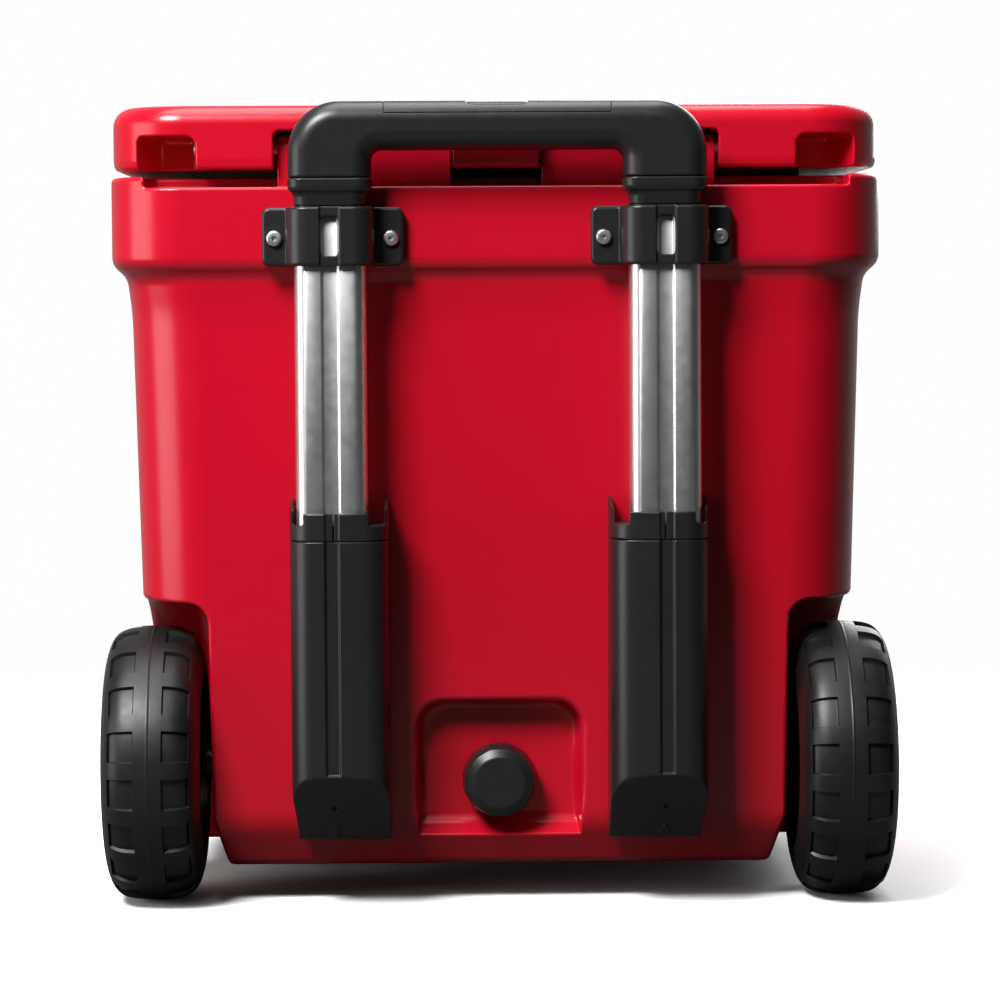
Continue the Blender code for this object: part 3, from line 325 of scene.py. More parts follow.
def twin(source, name):
    """The mirror image of an object, on the other side of the chest."""
    mesh = source.data
    points = np.zeros(len(mesh.vertices) * 3)
    mesh.vertices.foreach_get("co", points)
    points = points.reshape(-1, 3) * (-1, 1, 1)
    faces = [tuple(reversed(face.vertices)) for face in mesh.polygons]
    copy = bpy.data.meshes.new(name)
    copy.from_pydata(points.tolist(), [], faces)
    copy.update()
    copy.shade_smooth()
    if source.get("normals"):
        normals = np.array([corner.vector[:] for corner in mesh.vertex_normals]) * (-1, 1, 1)
        by_corner = np.array([corner.vector[:] for corner in mesh.corner_normals])
        index = np.array([loop.vertex_index for loop in mesh.loops])
        normals[index] = by_corner * (-1, 1, 1)
        copy.normals_split_custom_set_from_vertices(normals.tolist())
    else:
        copy.set_sharp_from_angle(angle=math.radians(32))
    made = bpy.data.objects.new(name, copy)
    bpy.context.scene.collection.objects.link(made)
    return made


def turned(name, profile, axis, centre, steps=72, sharp=32):
    """Turns a profile of (radius, distance along the axis) round an axis."""
    place = {
        "X": lambda u, v, along: (centre[0] + along, centre[1] + u, centre[2] + v),
        "Y": lambda u, v, along: (centre[0] + v, centre[1] + along, centre[2] + u),
        "Z": lambda u, v, along: (centre[0] + u, centre[1] + v, centre[2] + along),
    }[axis]
    points, rows = [], []
    for radius, along in profile:
        count = steps if radius > 1e-7 else 1
        turns = [2 * math.pi * i / steps for i in range(count)]
        rows.append([len(points) + i for i in range(count)] * (steps // count))
        points += [place(radius * math.cos(t), radius * math.sin(t), along) for t in turns]
    faces = []
    for first, second in zip(rows, rows[1:]):
        for i in range(steps):
            after = (i + 1) % steps
            loop = dict.fromkeys((first[i], second[i], second[after], first[after]))
            if len(loop) > 2:
                faces.append(list(loop))
    made = mesh_object(name, np.array(points), np.array(faces, dtype=object))
    outward(made.data)
    made.data.set_sharp_from_angle(angle=math.radians(sharp))
    return made


def outward(mesh):
    """Turns the faces of a closed mesh outwards."""
    import bmesh

    bm = bmesh.new()
    bm.from_mesh(mesh)
    bmesh.ops.recalc_face_normals(bm, faces=bm.faces)
    bm.to_mesh(mesh)
    bm.free()


def rounded_profile(points, radius, steps=5):
    """A turned part's profile with its inner corners rounded."""
    radii, places = eased_path(points, radius, steps)
    return list(zip(radii, places))


# ---------------------------------------------------------------- materials


def node(tree, kind, **inputs):
    made = tree.nodes.new(kind)
    for name, value in inputs.items():
        made.inputs[name.replace("_", " ")].default_value = value
    return made


def noise(tree, place, scale, detail=2.0, stretch=(1, 1, 1)):
    """The value of a noise texture in the object's own space."""
    mapping = node(tree, "ShaderNodeMapping", Scale=stretch)
    tree.links.new(place, mapping.inputs["Vector"])
    made = node(tree, "ShaderNodeTexNoise", Scale=scale, Detail=detail)
    tree.links.new(mapping.outputs["Vector"], made.inputs["Vector"])
    return made.outputs["Fac"]


def between(tree, value, low, high):
    """A value from 0.3 to 0.7 spread over a range."""
    made = node(tree, "ShaderNodeMapRange", From_Min=0.3, From_Max=0.7, To_Min=low, To_Max=high)
    tree.links.new(value, made.inputs["Value"])
    return made.outputs["Result"]


def surface(name, colour, roughness, grain, metallic=0.0, tint=0.06, specular=0.5):
    """A finish with uneven roughness, faint changes of colour and a fine bump.

    roughness is (low, high). grain is a list of (scale, strength, height, stretch).
    """
    made = bpy.data.materials.new(name)
    made.use_nodes = True
    tree = made.node_tree
    shader = tree.nodes["Principled BSDF"]
    shader.inputs["Metallic"].default_value = metallic
    shader.inputs["Specular IOR Level"].default_value = specular
    place = tree.nodes.new("ShaderNodeTexCoord").outputs["Object"]
    broad = noise(tree, place, 14, 3)
    mottled = noise(tree, place, 160, 3)
    tree.links.new(between(tree, mottled, *roughness), shader.inputs["Roughness"])
    shade = node(tree, "ShaderNodeHueSaturation", Color=(*colour, 1))
    tree.links.new(between(tree, broad, 1 - tint, 1 + tint), shade.inputs["Value"])
    tree.links.new(shade.outputs["Color"], shader.inputs["Base Color"])
    previous = None
    for scale, strength, height, stretch in grain:
        bump = node(tree, "ShaderNodeBump", Strength=strength, Distance=height)
        tree.links.new(noise(tree, place, scale, 2, stretch), bump.inputs["Height"])
        if previous:
            tree.links.new(previous, bump.inputs["Normal"])
        previous = bump.outputs["Normal"]
    tree.links.new(previous, shader.inputs["Normal"])
    return made


def make_surfaces():
    even = (1, 1, 1)
    red_grain = [(900, 0.12, 0.03 * MM, even), (18, 0.06, 0.5 * MM, even)]
    black_grain = [(2200, 0.4, 0.04 * MM, even)]
    rubber_grain = [(1300, 0.5, 0.08 * MM, even), (90, 0.15, 0.2 * MM, even)]
    drawn_grain = [(900, 0.20, 0.01 * MM, (1, 1, 0.01))]
    turned_grain = [(1500, 0.3, 0.02 * MM, even)]
    foam_grain = [(500, 0.9, 0.4 * MM, even)]
    steel = surface("bright_steel", (0.75, 0.75, 0.76), (0.34, 0.42), turned_grain, 1.0, 0.03)
    drawn = surface("anodised_aluminium", (0.80, 0.81, 0.82), (0.34, 0.38), drawn_grain, 1.0, 0.01)
    return {
        "red_shell": surface("red_shell", (0.56, 0.0030, 0.0185), (0.24, 0.27), red_grain, tint=0.012),
        "white_liner": surface("white_liner", (0.78, 0.78, 0.76), (0.30, 0.40), red_grain, tint=0.02),
        "black_plastic": surface("black_plastic", (0.0135, 0.0135, 0.0140), (0.31, 0.36), black_grain, tint=0.03),
        "tyre_rubber": surface("tyre_rubber", (0.0065, 0.0065, 0.007), (0.38, 0.46), rubber_grain, tint=0.08),
        "soft_rubber": surface("soft_rubber", (0.018, 0.018, 0.019), (0.65, 0.80), rubber_grain),
        "anodised_aluminium": drawn,
        "bright_steel": steel,
        "insulating_foam": surface("insulating_foam", (0.80, 0.70, 0.42), (0.80, 0.95), foam_grain),
    }


def dress_cad_nodes(surfaces):
    """Gives every CAD node the finish of its slot in the record; the lid's fill plug is as pale as its panel."""
    for part in frame["record"]["subparts"]:
        obj = frame["nodes"][part["node"]]
        obj.data.materials.clear()
        slot = "white_liner" if part["node"] == "lid_fill_plug" else part["material_slot"]
        obj.data.materials.append(surfaces[slot])


def soften_cad_node(name, width):
    """Rounds the sharp edges of a CAD node that stays in view."""
    obj = frame["nodes"][name]
    modifier = obj.modifiers.new("edges", "BEVEL")
    modifier.width = width
    modifier.segments = 3
    modifier.limit_method = "ANGLE"
    modifier.angle_limit = math.radians(35)
    modifier.harden_normals = True


def fit(obj, surfaces, slot, body, *nodes):
    """Gives a new piece its finish and its body, and hides the CAD nodes it stands for."""
    obj.data.materials.append(surfaces[slot])
    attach(obj, body)
    if nodes:
        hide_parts(*nodes)
    return obj


# ---------------------------------------------------------------- tub

HALF_BY_HEIGHT = eased_path(
    (
        (BASE_Z - 10 * MM, TUB_LOW_HALF - BASE_IN - 6 * MM),
        (CHAMFER_Z, TUB_LOW_HALF),
        (COVE_Z - 12 * MM, TUB_TOP_HALF - 0.5 * MM),
        (COLLAR_LOW_Z - 9 * MM, COLLAR_HALF - 9.5 * MM),
        (COLLAR_LOW_Z - 1 * MM, COLLAR_HALF),
        (RIM_Z + 20 * MM, COLLAR_HALF),
    ),
    9 * MM,
)
INSET_BY_HEIGHT = eased_path(
    (
        (BASE_Z - 10 * MM, TUB_LOW_INSET + BASE_IN + 6 * MM),
        (CHAMFER_Z, TUB_LOW_INSET),
        (COVE_Z - 12 * MM, TUB_TOP_INSET + 0.5 * MM),
        (COLLAR_LOW_Z - 9 * MM, 7.5 * MM),
        (COLLAR_LOW_Z - 1 * MM, 0),
        (RIM_Z + 20 * MM, 0),
    ),
    9 * MM,
)


def tub_body(x, y, z):
    half, inset = np.interp(z, *HALF_BY_HEIGHT), np.interp(z, *INSET_BY_HEIGHT)
    middle = (FRONT + REAR) / 2
    wall = oblong(x, y - middle, half, (REAR - FRONT) / 2 - inset, CORNER)
    body = both(wall, z - RIM_Z, 3.5 * MM)
    return both(body, BASE_Z - z, 5 * MM)


def hinge_shelf(x, y, z):
    """The step behind the rim that the knuckles stand on."""
    ends = np.abs(x) - SHELF_HALF
    shelf = both(ends, SLOT_FRONT - 1.5 * MM - y, 6 * MM)
    return both(shelf, SHELF_Z - z, 2 * MM)


def wheel_well(x, y, z):
    """The space round a wheel, open to the side, the rear and below."""
    front = WHEEL_Y - WELL_RADIUS
    arch = oblong(y - front - 0.3, z - WELL_TOP_Z + 0.4, 0.3, 0.4, WELL_RADIUS - 2 * MM)
    slope = (WELL_HALF_TOP - WELL_HALF_LOW) / (WELL_TOP_Z - BASE_Z)
    chamfer = 0.27 * np.maximum(CHAMFER_Z + 4 * MM - z, 0)
    inner = WELL_HALF_LOW + slope * (z - BASE_Z) - chamfer - np.abs(x)
    return both(arch, inner, 14 * MM)


def wheel_well_edge(x, y):
    """The radius of the well's edge: small at the rear, and wider at the side."""
    flare = swell((np.abs(x) - 0.205) / 0.03) * swell((REAR - 18 * MM - y) / 0.03)
    return 2.4 * MM + 2 * MM * flare


def drain_recess(x, y, z):
    """The recess round the drain plug. It narrows inwards and its lower side slopes out."""
    depth = REAR - 10 * MM - y
    draft = 5.5 * MM * depth / (REAR - RECESS_FLOOR_Y)
    low = RECESS_LOW_Z + 9.5 * MM - 0.75 * (y - RECESS_FLOOR_Y)
    middle, reach = (RECESS_TOP_Z + low) / 2, (RECESS_TOP_Z - low) / 2
    opening = oblong(x, z - middle, RECESS_HALF - draft + 1 * MM, reach - draft / 2, RECESS_CORNER)
    square = oblong(x, z - middle + 0.1, RECESS_HALF - draft + 1 * MM, reach - draft / 2 + 0.1, RECESS_CORNER)
    sides = np.where(z > middle, opening, both(square, low - z, 1 * MM))
    return both(sides, RECESS_FLOOR_Y - y, 5 * MM)


def drain_recess_edge(z):
    """The radius of the recess's edge: wide at the top, and crisp at the foot."""
    return 1.2 * MM + 3.6 * MM * swell((z - RECESS_LOW_Z - 6 * MM) / 0.03)


def keeper_recess(x, y, z):
    across = np.abs(np.abs(x) - LATCH_X) - LATCH_RECESS_HALF
    face = both(across, span(z, KEEPER_LOW.z - 15 * MM, KEEPER_HIGH.z + 1 * MM), 2 * MM)
    return both(face, y - KEEPER_HIGH.y - GAP, 1.5 * MM)


def storage_space(x, y, z):
    share = (z - FLOOR_Z) / (RIM_Z - FLOOR_Z)
    half = MOUTH_HALF - FLOOR_DRAFT * (1 - share)
    front = MOUTH_FRONT + 12 * MM * (1 - share)
    rear = MOUTH_REAR - 7.5 * MM * (1 - share)
    room = oblong(x, y - (front + rear) / 2, half, (rear - front) / 2, MOUTH_CORNER)
    room = both(room, FLOOR_Z - z, 14 * MM)
    inner = WELL_HALF_TOP - HUMP_WALL - np.abs(x)
    front_face = WHEEL_Y - WELL_RADIUS - HUMP_WALL - y
    hump = both(both(inner, front_face, 16 * MM), z - WELL_TOP_Z - HUMP_WALL, 14 * MM)
    return without(room, hump, 12 * MM)


def knuckles(x, y, z):
    low = SHELF_Z - 4 * MM
    middle, reach = (TUB_HIGH.z + low) / 2, (TUB_HIGH.z - low) / 2
    barrel = oblong(y - HINGE_Y, z - middle, KNUCKLE_RADIUS, reach, KNUCKLE_RADIUS - 0.1 * MM)
    return both(barrel, span(np.abs(x), KNUCKLE_IN, KNUCKLE_OUT), 1.2 * MM)


def foam_room(x, y, z):
    """The hollow of the tub, where the foam and the liner are."""
    low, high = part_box("tub_foam")
    outside = without(tub_body(x, y, z), wheel_well(x, y, z), 2 * MM)
    outside = without(outside, drain_recess(x, y, z), 2 * MM)
    outside = without(outside, keeper_recess(x, y, z), 2 * MM)
    return both(outside + FOAM_INSET, span(z, low.z, high.z), 2 * MM)


def tub_field(x, y, z):
    shape = without(tub_body(x, y, z), hinge_shelf(x, y, z), 2.2 * MM)
    shape = without(shape, wheel_well(x, y, z), wheel_well_edge(x, y))
    shape = without(shape, drain_recess(x, y, z), drain_recess_edge(z))
    shape = without(shape, keeper_recess(x, y, z), 1.5 * MM)
    shape = either(shape, knuckles(x, y, z), 2 * MM)
    rim_room = oblong(
        x, y - (MOUTH_FRONT + MOUTH_REAR) / 2, MOUTH_HALF + WALL, (MOUTH_REAR - MOUTH_FRONT) / 2 + WALL, MOUTH_CORNER
    )
    shape = without(shape, both(rim_room, RIM_Z - 30 * MM - z, 2 * MM), 1 * MM)
    shape = without(shape, foam_room(x, y, z) - GAP, 0.6 * MM)
    bore = np.hypot(x, z - DRAIN_Z) - BUSHING_RADIUS - GAP
    return without(shape, both(bore, REAR - 80 * MM - y, 1 * MM), 0.5 * MM)


def make_tub(surfaces):
    fine = 1.4 * MM
    xs = ticks(
        0,
        COLLAR_HALF + 4 * MM,
        4 * MM,
        (
            (0, 16 * MM, 2 * MM),
            (KNUCKLE_IN - 3 * MM, KNUCKLE_IN + 3 * MM, 0.8 * MM),
            (RECESS_HALF - 9 * MM, RECESS_HALF + 5 * MM, fine),
            (LATCH_X - 28 * MM, LATCH_X - 22 * MM, 1 * MM),
            (LATCH_X + 22 * MM, KNUCKLE_OUT + 3 * MM, 1 * MM),
            (WELL_HALF_LOW - 4 * MM, COLLAR_HALF, 2 * MM),
        ),
    )
    ys = ticks(
        FRONT - 3 * MM,
        REAR + 4 * MM,
        4 * MM,
        (
            (FRONT - 3 * MM, FRONT + 16 * MM, fine),
            (WHEEL_Y - WELL_RADIUS - 8 * MM, WHEEL_Y - WELL_RADIUS + 10 * MM, 2 * MM),
            (SLOT_FRONT - 4 * MM, REAR + 3 * MM, fine),
        ),
    )
    zs = ticks(
        BASE_Z - 3 * MM,
        TUB_HIGH.z + 3 * MM,
        4.5 * MM,
        (
            (BASE_Z - 3 * MM, CHAMFER_Z + 6 * MM, fine),
            (DRAIN_Z - 16 * MM, DRAIN_Z + 16 * MM, 2 * MM),
            (RECESS_TOP_Z - 9 * MM, RECESS_TOP_Z + 5 * MM, fine),
            (WELL_TOP_Z - 18 * MM, WELL_TOP_Z + 12 * MM, fine),
            (COVE_Z - 12 * MM, TUB_HIGH.z + 3 * MM, fine),
        ),
    )
    tub = moulded("tub", tub_field, mirrored_ticks(xs), ys, zs)
    fit(tub, surfaces, "red_shell", "chest", "tub_shell")


def liner_field(x, y, z):
    room = storage_space(x, y, z)
    skin = without(room - WALL, room, 0.6 * MM)
    skin = both(skin, z - RIM_Z + 0.2 * MM, 1 * MM)
    bore = np.hypot(x, z - DRAIN_Z) - BUSHING_RADIUS - GAP
    return without(skin, both(bore, 0.10 - y, 0.5 * MM), 0.5 * MM)


def make_liner(surfaces):
    xs = ticks(
        0,
        LINER_HIGH.x + 3 * MM,
        4 * MM,
        ((0, 16 * MM, 2 * MM), (WELL_HALF_TOP - HUMP_WALL - 8 * MM, LINER_HIGH.x + 3 * MM, 1.6 * MM)),
    )
    ys = ticks(
        LINER_LOW.y - 3 * MM,
        LINER_HIGH.y + 3 * MM,
        4 * MM,
        (
            (LINER_LOW.y - 3 * MM, LINER_LOW.y + 22 * MM, 1.6 * MM),
            (WHEEL_Y - WELL_RADIUS - HUMP_WALL - 8 * MM, WHEEL_Y - WELL_RADIUS - HUMP_WALL + 16 * MM, 2 * MM),
            (LINER_HIGH.y - 20 * MM, LINER_HIGH.y + 3 * MM, 1.6 * MM),
        ),
    )
    zs = ticks(
        LINER_LOW.z - 3 * MM,
        LINER_HIGH.z + 3 * MM,
        5 * MM,
        (
            (LINER_LOW.z - 3 * MM, DRAIN_Z + 16 * MM, 1.6 * MM),
            (WELL_TOP_Z + HUMP_WALL - 14 * MM, WELL_TOP_Z + HUMP_WALL + 8 * MM, 2 * MM),
            (LINER_HIGH.z - 4 * MM, LINER_HIGH.z + 3 * MM, 1 * MM),
        ),
    )
    liner = moulded("liner", liner_field, mirrored_ticks(xs), ys, zs)
    fit(liner, surfaces, "white_liner", "chest", "tub_liner")


def foam_field(x, y, z):
    """The foam between the shell and the liner."""
    block = without(foam_room(x, y, z), storage_space(x, y, z) - WALL - GAP, 2 * MM)
    bore = np.hypot(x, z - DRAIN_Z) - BUSHING_RADIUS - FOAM_INSET
    return without(block, both(bore, 0.10 - y, 1 * MM), 1 * MM)


def make_foam(surfaces):
    low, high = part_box("tub_foam")
    margin, coarse = 4 * MM, 7 * MM
    xs = mirrored_ticks(ticks(0, high.x + margin, coarse))
    ys = ticks(low.y - margin, high.y + margin, coarse, ((low.y - margin, KEEPER_HIGH.y + 10 * MM, 2 * MM),))
    zs = ticks(low.z - margin, high.z + margin, coarse)
    foam = moulded("foam_fill", foam_field, xs, ys, zs)
    fit(foam, surfaces, "insulating_foam", "chest", "tub_foam")


def make_foot_pads(surfaces):
    for word, _ in SIDES:
        low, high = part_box(f"foot_{word}")
        outline = (
            (0, 0),
            (15 * MM, 0),
            (15 * MM, 0.8 * MM),
            (17 * MM, 0.8 * MM),
            (17 * MM, 0),
            (20 * MM, 0),
            (24 * MM, high.z - 3 * MM),
            (24 * MM, high.z),
            (0, high.z),
        )
        pad = turned(f"foot_pad_{word}", rounded_profile(outline, 1.5 * MM), "Z", ((low.x + high.x) / 2, (low.y + high.y) / 2, 0))
        fit(pad, surfaces, "soft_rubber", "chest", f"foot_{word}")


# ---------------------------------------------------------------- lid


def lid_body(x, y, z):
    tuck = 1.0 * MM * swell((LID_LOW_Z + 7 * MM - z) / (7 * MM))
    middle = (LID_BOX_LOW_Y + LID_REAR) / 2
    wall = oblong(x, y - middle, LID_HALF - tuck, (LID_REAR - LID_BOX_LOW_Y) / 2 - tuck, CORNER)
    body = both(wall, z - LID_TOP_Z, LID_FILLET)
    body = both(body, LID_LOW_Z - z, 3 * MM)
    inset = 30 * MM
    panel = oblong(x, y - middle, LID_HALF - inset, (LID_REAR - LID_BOX_LOW_Y) / 2 - inset, CORNER - 16 * MM)
    return without(body, both(panel, LID_TOP_Z - 1.6 * MM - z, 1.2 * MM), 2.5 * MM)


def lid_plug(x, y, z):
    middle, reach = (MOUTH_FRONT + MOUTH_REAR) / 2, (MOUTH_REAR - MOUTH_FRONT) / 2
    wall = oblong(x, y - middle, MOUTH_HALF - PLUG_CLEAR, reach - PLUG_CLEAR, MOUTH_CORNER - PLUG_CLEAR)
    return both(both(wall, LID_PLUG_LOW_Z - z, 6 * MM), z - LID_LOW_Z - 8 * MM, 1 * MM)


def lid_slots(x, y, z):
    low = LID_LOW_Z - 30 * MM
    middle, reach = (SLOT_TOP_Z + low) / 2, (SLOT_TOP_Z - low) / 2
    across = np.abs(x) - (SLOT_IN + SLOT_OUT) / 2
    opening = oblong(across, z - middle, (SLOT_OUT - SLOT_IN) / 2, reach, 5 * MM)
    return both(opening, SLOT_FRONT - y, 2 * MM)


def lid_pockets(x, y, z):
    low = LID_LOW_Z - 30 * MM
    middle, reach = (POCKET_TOP_Z + low) / 2, (POCKET_TOP_Z - low) / 2
    across = np.abs(x) - (POCKET_IN + POCKET_OUT) / 2
    opening = oblong(across, z - middle, (POCKET_OUT - POCKET_IN) / 2, reach, 7 * MM)
    scoop = 0.9 * (POCKET_OUT - np.abs(x)) + 0.44 * (y - LID_REAR) + 2 * MM
    return both(both(opening, -scoop, 4 * MM), SLOT_FRONT - 4 * MM - y, 5 * MM)


def latch_recesses(x, y, z):
    across = np.abs(np.abs(x) - LATCH_X) - LATCH_RECESS_HALF
    face = both(across, z - LATCH_PIN_Z - 8.5 * MM, 3 * MM)
    return both(face, y - FRONT - 11.5 * MM, 2 * MM)


def lid_field(x, y, z):
    shape = without(lid_body(x, y, z), lid_slots(x, y, z), 1.5 * MM)
    shape = without(shape, lid_pockets(x, y, z), 1.5 * MM)
    shape = without(shape, latch_recesses(x, y, z), 1.5 * MM)
    shape = either(shape, lid_plug(x, y, z), 3 * MM)
    rod = np.hypot(y - HINGE_Y, z - HINGE_Z) - ROD_RADIUS - GAP
    return without(shape, both(rod, np.abs(x) - POCKET_OUT + 10 * MM, 1 * MM), 0.5 * MM)


LID_BOX_LOW_Y = LID_BOX_LOW.y
LID_REAR = LID_BOX_HIGH.y


def make_lid(surfaces):
    fine = 1.3 * MM
    xs = ticks(
        0,
        LID_HALF + 3 * MM,
        4 * MM,
        (
            (SLOT_IN - 3 * MM, SLOT_IN + 4 * MM, 1 * MM),
            (LATCH_X - 28 * MM, LATCH_X - 22 * MM, 1 * MM),
            (LATCH_X + 22 * MM, SLOT_OUT + 3 * MM, 1 * MM),
            (MOUTH_HALF - 12 * MM, LID_HALF + 3 * MM, fine),
        ),
    )
    ys = ticks(
        LID_BOX_LOW_Y - 3 * MM,
        LID_REAR + 3 * MM,
        4 * MM,
        (
            (LID_BOX_LOW_Y - 3 * MM, LID_BOX_LOW_Y + 36 * MM, fine),
            (SLOT_FRONT - 20 * MM, LID_REAR + 3 * MM, fine),
        ),
    )
    zs = ticks(LID_PLUG_LOW_Z - 3 * MM, LID_TOP_Z + 3 * MM, 3 * MM, ((LID_LOW_Z - 4 * MM, LID_TOP_Z + 3 * MM, 1.1 * MM),))
    lid = moulded("lid", lid_field, mirrored_ticks(xs), ys, zs)
    fit(lid, surfaces, "red_shell", "lid", "lid_shell")
    paint_lid_underside(lid, surfaces)


def paint_lid_underside(lid, surfaces):
    """The lid's lower side, inside the gasket, is as pale as the liner."""
    lid.data.materials.append(surfaces["white_liner"])
    middle = (MOUTH_FRONT + MOUTH_REAR) / 2
    for face in lid.data.polygons:
        x, y, z = face.center
        inside = oblong(x, y - middle, MOUTH_HALF - 1 * MM, (MOUTH_REAR - MOUTH_FRONT) / 2 - 1 * MM, MOUTH_CORNER)
        if inside < 0 and z < LID_LOW_Z + 2 * MM:
            face.material_index = 1


def make_rod(surfaces):
    reach = (ROD_HIGH.x - ROD_LOW.x) / 2
    outline = ((0, -reach), (ROD_RADIUS, -reach), (ROD_RADIUS, reach), (0, reach))
    rod = turned("lid_rod", rounded_profile(outline, 1.2 * MM, 8), "X", (0, HINGE_Y, HINGE_Z), 48)
    fit(rod, surfaces, "bright_steel", "chest", "hinge_rod")


# ---------------------------------------------------------------- wheels


def tyre_crown():
    """Half of the tread's cross-section, as (distance from the middle, drop below the crown)."""
    half = (WHEEL_OUT - WHEEL_IN) / 2
    points = ((0, 0), (0.3, 0.4), (0.55, 1.6), (0.72, 4.2), (0.84, 8.6), (0.92, 14.5), (0.975, 22), (1, 31))
    return [(share * half, drop * MM) for share, drop in points]


def curve_through(points, steps):
    """A Catmull-Rom curve through the points."""
    points = [np.array(p) for p in points]
    padded = [2 * points[0] - points[1], *points, 2 * points[-1] - points[-2]]
    path = []
    for a, b, c, d in zip(padded, padded[1:], padded[2:], padded[3:]):
        for step in range(steps):
            t = step / steps
            path.append(0.5 * (2 * b + (c - a) * t + (2 * a - 5 * b + 4 * c - d) * t**2 + (3 * b - a - 3 * c + d) * t**3))
    path.append(points[-1])
    return np.array(path)


def make_tyre(surfaces, word, side, phase):
    """A crowned tyre with two rows of shallow oblong pockets."""
    middle, pitch = (WHEEL_IN + WHEEL_OUT) / 2, 2 * math.pi / POCKET_COUNT
    half_angle, depth, wall = math.radians(6.0), 2.6 * MM, math.radians(0.5)
    inner_edge, outer_edge, side_wall = 9.3 * MM, 27.0 * MM, 0.7 * MM
    crown = curve_through([(-u, d) for u, d in reversed(tyre_crown()[1:])] + tyre_crown(), 24)
    across = np.unique(np.concatenate([crown[:, 0]] + [
        sign * np.array([inner_edge, inner_edge + side_wall, outer_edge - side_wall, outer_edge])
        for sign in (-1, 1)
    ]))
    drop = np.interp(across, crown[:, 0], crown[:, 1])
    shares = [-half_angle - wall, -half_angle, *np.linspace(-half_angle * 0.8, half_angle * 0.8, 9), half_angle]
    shares += [half_angle + wall, *np.linspace(half_angle + 2 * wall, pitch - half_angle - 2 * wall, 7)]
    angles = np.concatenate([np.array(shares) + pitch * i for i in range(POCKET_COUNT)]) + phase
    local = (angles - phase + pitch / 2) % pitch - pitch / 2
    lengthwise = swell((half_angle + wall - np.abs(local)) / wall)
    widthwise = swell((np.abs(across) - inner_edge) / side_wall) * swell((outer_edge - np.abs(across)) / side_wall)
    line = 0.25 * MM * np.exp(-((across / (0.5 * MM)) ** 2))
    radius = WHEEL_RADIUS - 0.25 * MM - drop[:, None] + line[:, None] - depth * widthwise[:, None] * lengthwise[None, :]
    inner_rim = [(-27 * MM, RIM_RADIUS), (27 * MM, RIM_RADIUS)]
    flank = [(-32 * MM, 61 * MM), (32 * MM, 61 * MM)]
    places = []
    columns = [flank[0], *zip(across, radius), flank[1], inner_rim[1], inner_rim[0]]
    for along, size in columns:
        ring = np.broadcast_to(size, angles.shape)
        places.append(np.stack([np.full_like(ring, side * (middle + along)), WHEEL_Y + ring * np.cos(angles), WHEEL_Z + ring * np.sin(angles)], 1))
    grid = np.arange(len(columns) * len(angles)).reshape(len(columns), len(angles))
    after, beyond = np.roll(grid, -1, 1), np.roll(grid, -1, 0)
    faces = np.stack([grid, after, np.roll(beyond, -1, 1), beyond], -1).reshape(-1, 4)
    tyre = mesh_object(f"tread_{word}", np.concatenate(places), faces)
    outward(tyre.data)
    tyre.data.set_sharp_from_angle(angle=math.radians(30))
    fit(tyre, surfaces, "tyre_rubber", f"wheel_{word}", f"tyre_{word}")


def wheel_field(x, y, z):
    """A moulded wheel: a barrel, a dished web with six pockets, and a boss."""
    radius = np.hypot(y - WHEEL_Y, z - WHEEL_Z)
    turn = np.arctan2(z - WHEEL_Z, y - WHEEL_Y)
    sector = math.pi / 3
    local = (turn + sector / 2) % sector - sector / 2
    barrel = both(radius - RIM_RADIUS + GAP, span(x, WHEEL_IN + 7 * MM, WHEEL_OUT - 7 * MM), 1.5 * MM)
    dish_out = both(radius - RIM_RADIUS + 8 * MM + 0.25 * (WHEEL_OUT - x), WHEEL_OUT - 18 * MM - x, 4 * MM)
    dish_in = both(radius - RIM_RADIUS + 9 * MM, x - WHEEL_IN - 20 * MM, 4 * MM)
    wheel = without(without(barrel, dish_out, 1.5 * MM), dish_in, 1.5 * MM)
    pocket = oblong(radius - 36 * MM, radius * local, 9 * MM, 11.5 * MM, 5 * MM)
    wheel = without(wheel, both(pocket, WHEEL_OUT - 22.5 * MM - x, 1.5 * MM), 1.5 * MM)
    boss = both(radius - 19.5 * MM, span(x, WHEEL_IN + 4 * MM, WHEEL_OUT - 8.5 * MM), 1.5 * MM)
    wheel = either(wheel, boss, 3 * MM)
    return without(wheel, radius - 8.8 * MM, 0.5 * MM)


def make_wheels(surfaces):
    reach = RIM_RADIUS + 2 * MM
    xs = ticks(WHEEL_IN, WHEEL_OUT, 1.3 * MM)
    ys = ticks(WHEEL_Y - reach, WHEEL_Y + reach, 1.6 * MM)
    zs = ticks(WHEEL_Z - reach, WHEEL_Z + reach, 1.6 * MM)
    left = moulded("wheel_left", wheel_field, xs, ys, zs)
    cap_low, cap_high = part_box("hub_cap_left")
    for word, side in SIDES:
        wheel = left if side > 0 else twin(left, "wheel_right")
        fit(wheel, surfaces, "black_plastic", f"wheel_{word}", f"hub_{word}")
        outline = (
            (0, cap_high.x),
            (9 * MM, cap_high.x),
            (11 * MM, cap_high.x - 0.8 * MM),
            (13 * MM, cap_high.x - 0.4 * MM),
            (18.5 * MM, cap_high.x - 2.6 * MM),
            (18.5 * MM, cap_low.x),
            (16 * MM, cap_low.x),
            (15 * MM, cap_low.x + 3.7 * MM),
            (0, cap_low.x + 3.7 * MM),
        )
        profile = [(radius, side * along) for radius, along in rounded_profile(outline, 1.2 * MM)]
        cap = turned(f"wheel_cap_{word}", profile, "X", (0, WHEEL_Y, WHEEL_Z))
        fit(cap, surfaces, "black_plastic", f"wheel_{word}", f"hub_cap_{word}")
        make_tyre(surfaces, word, side, math.radians(13.3 if side > 0 else 6.0))
        make_axle(surfaces, word, side)


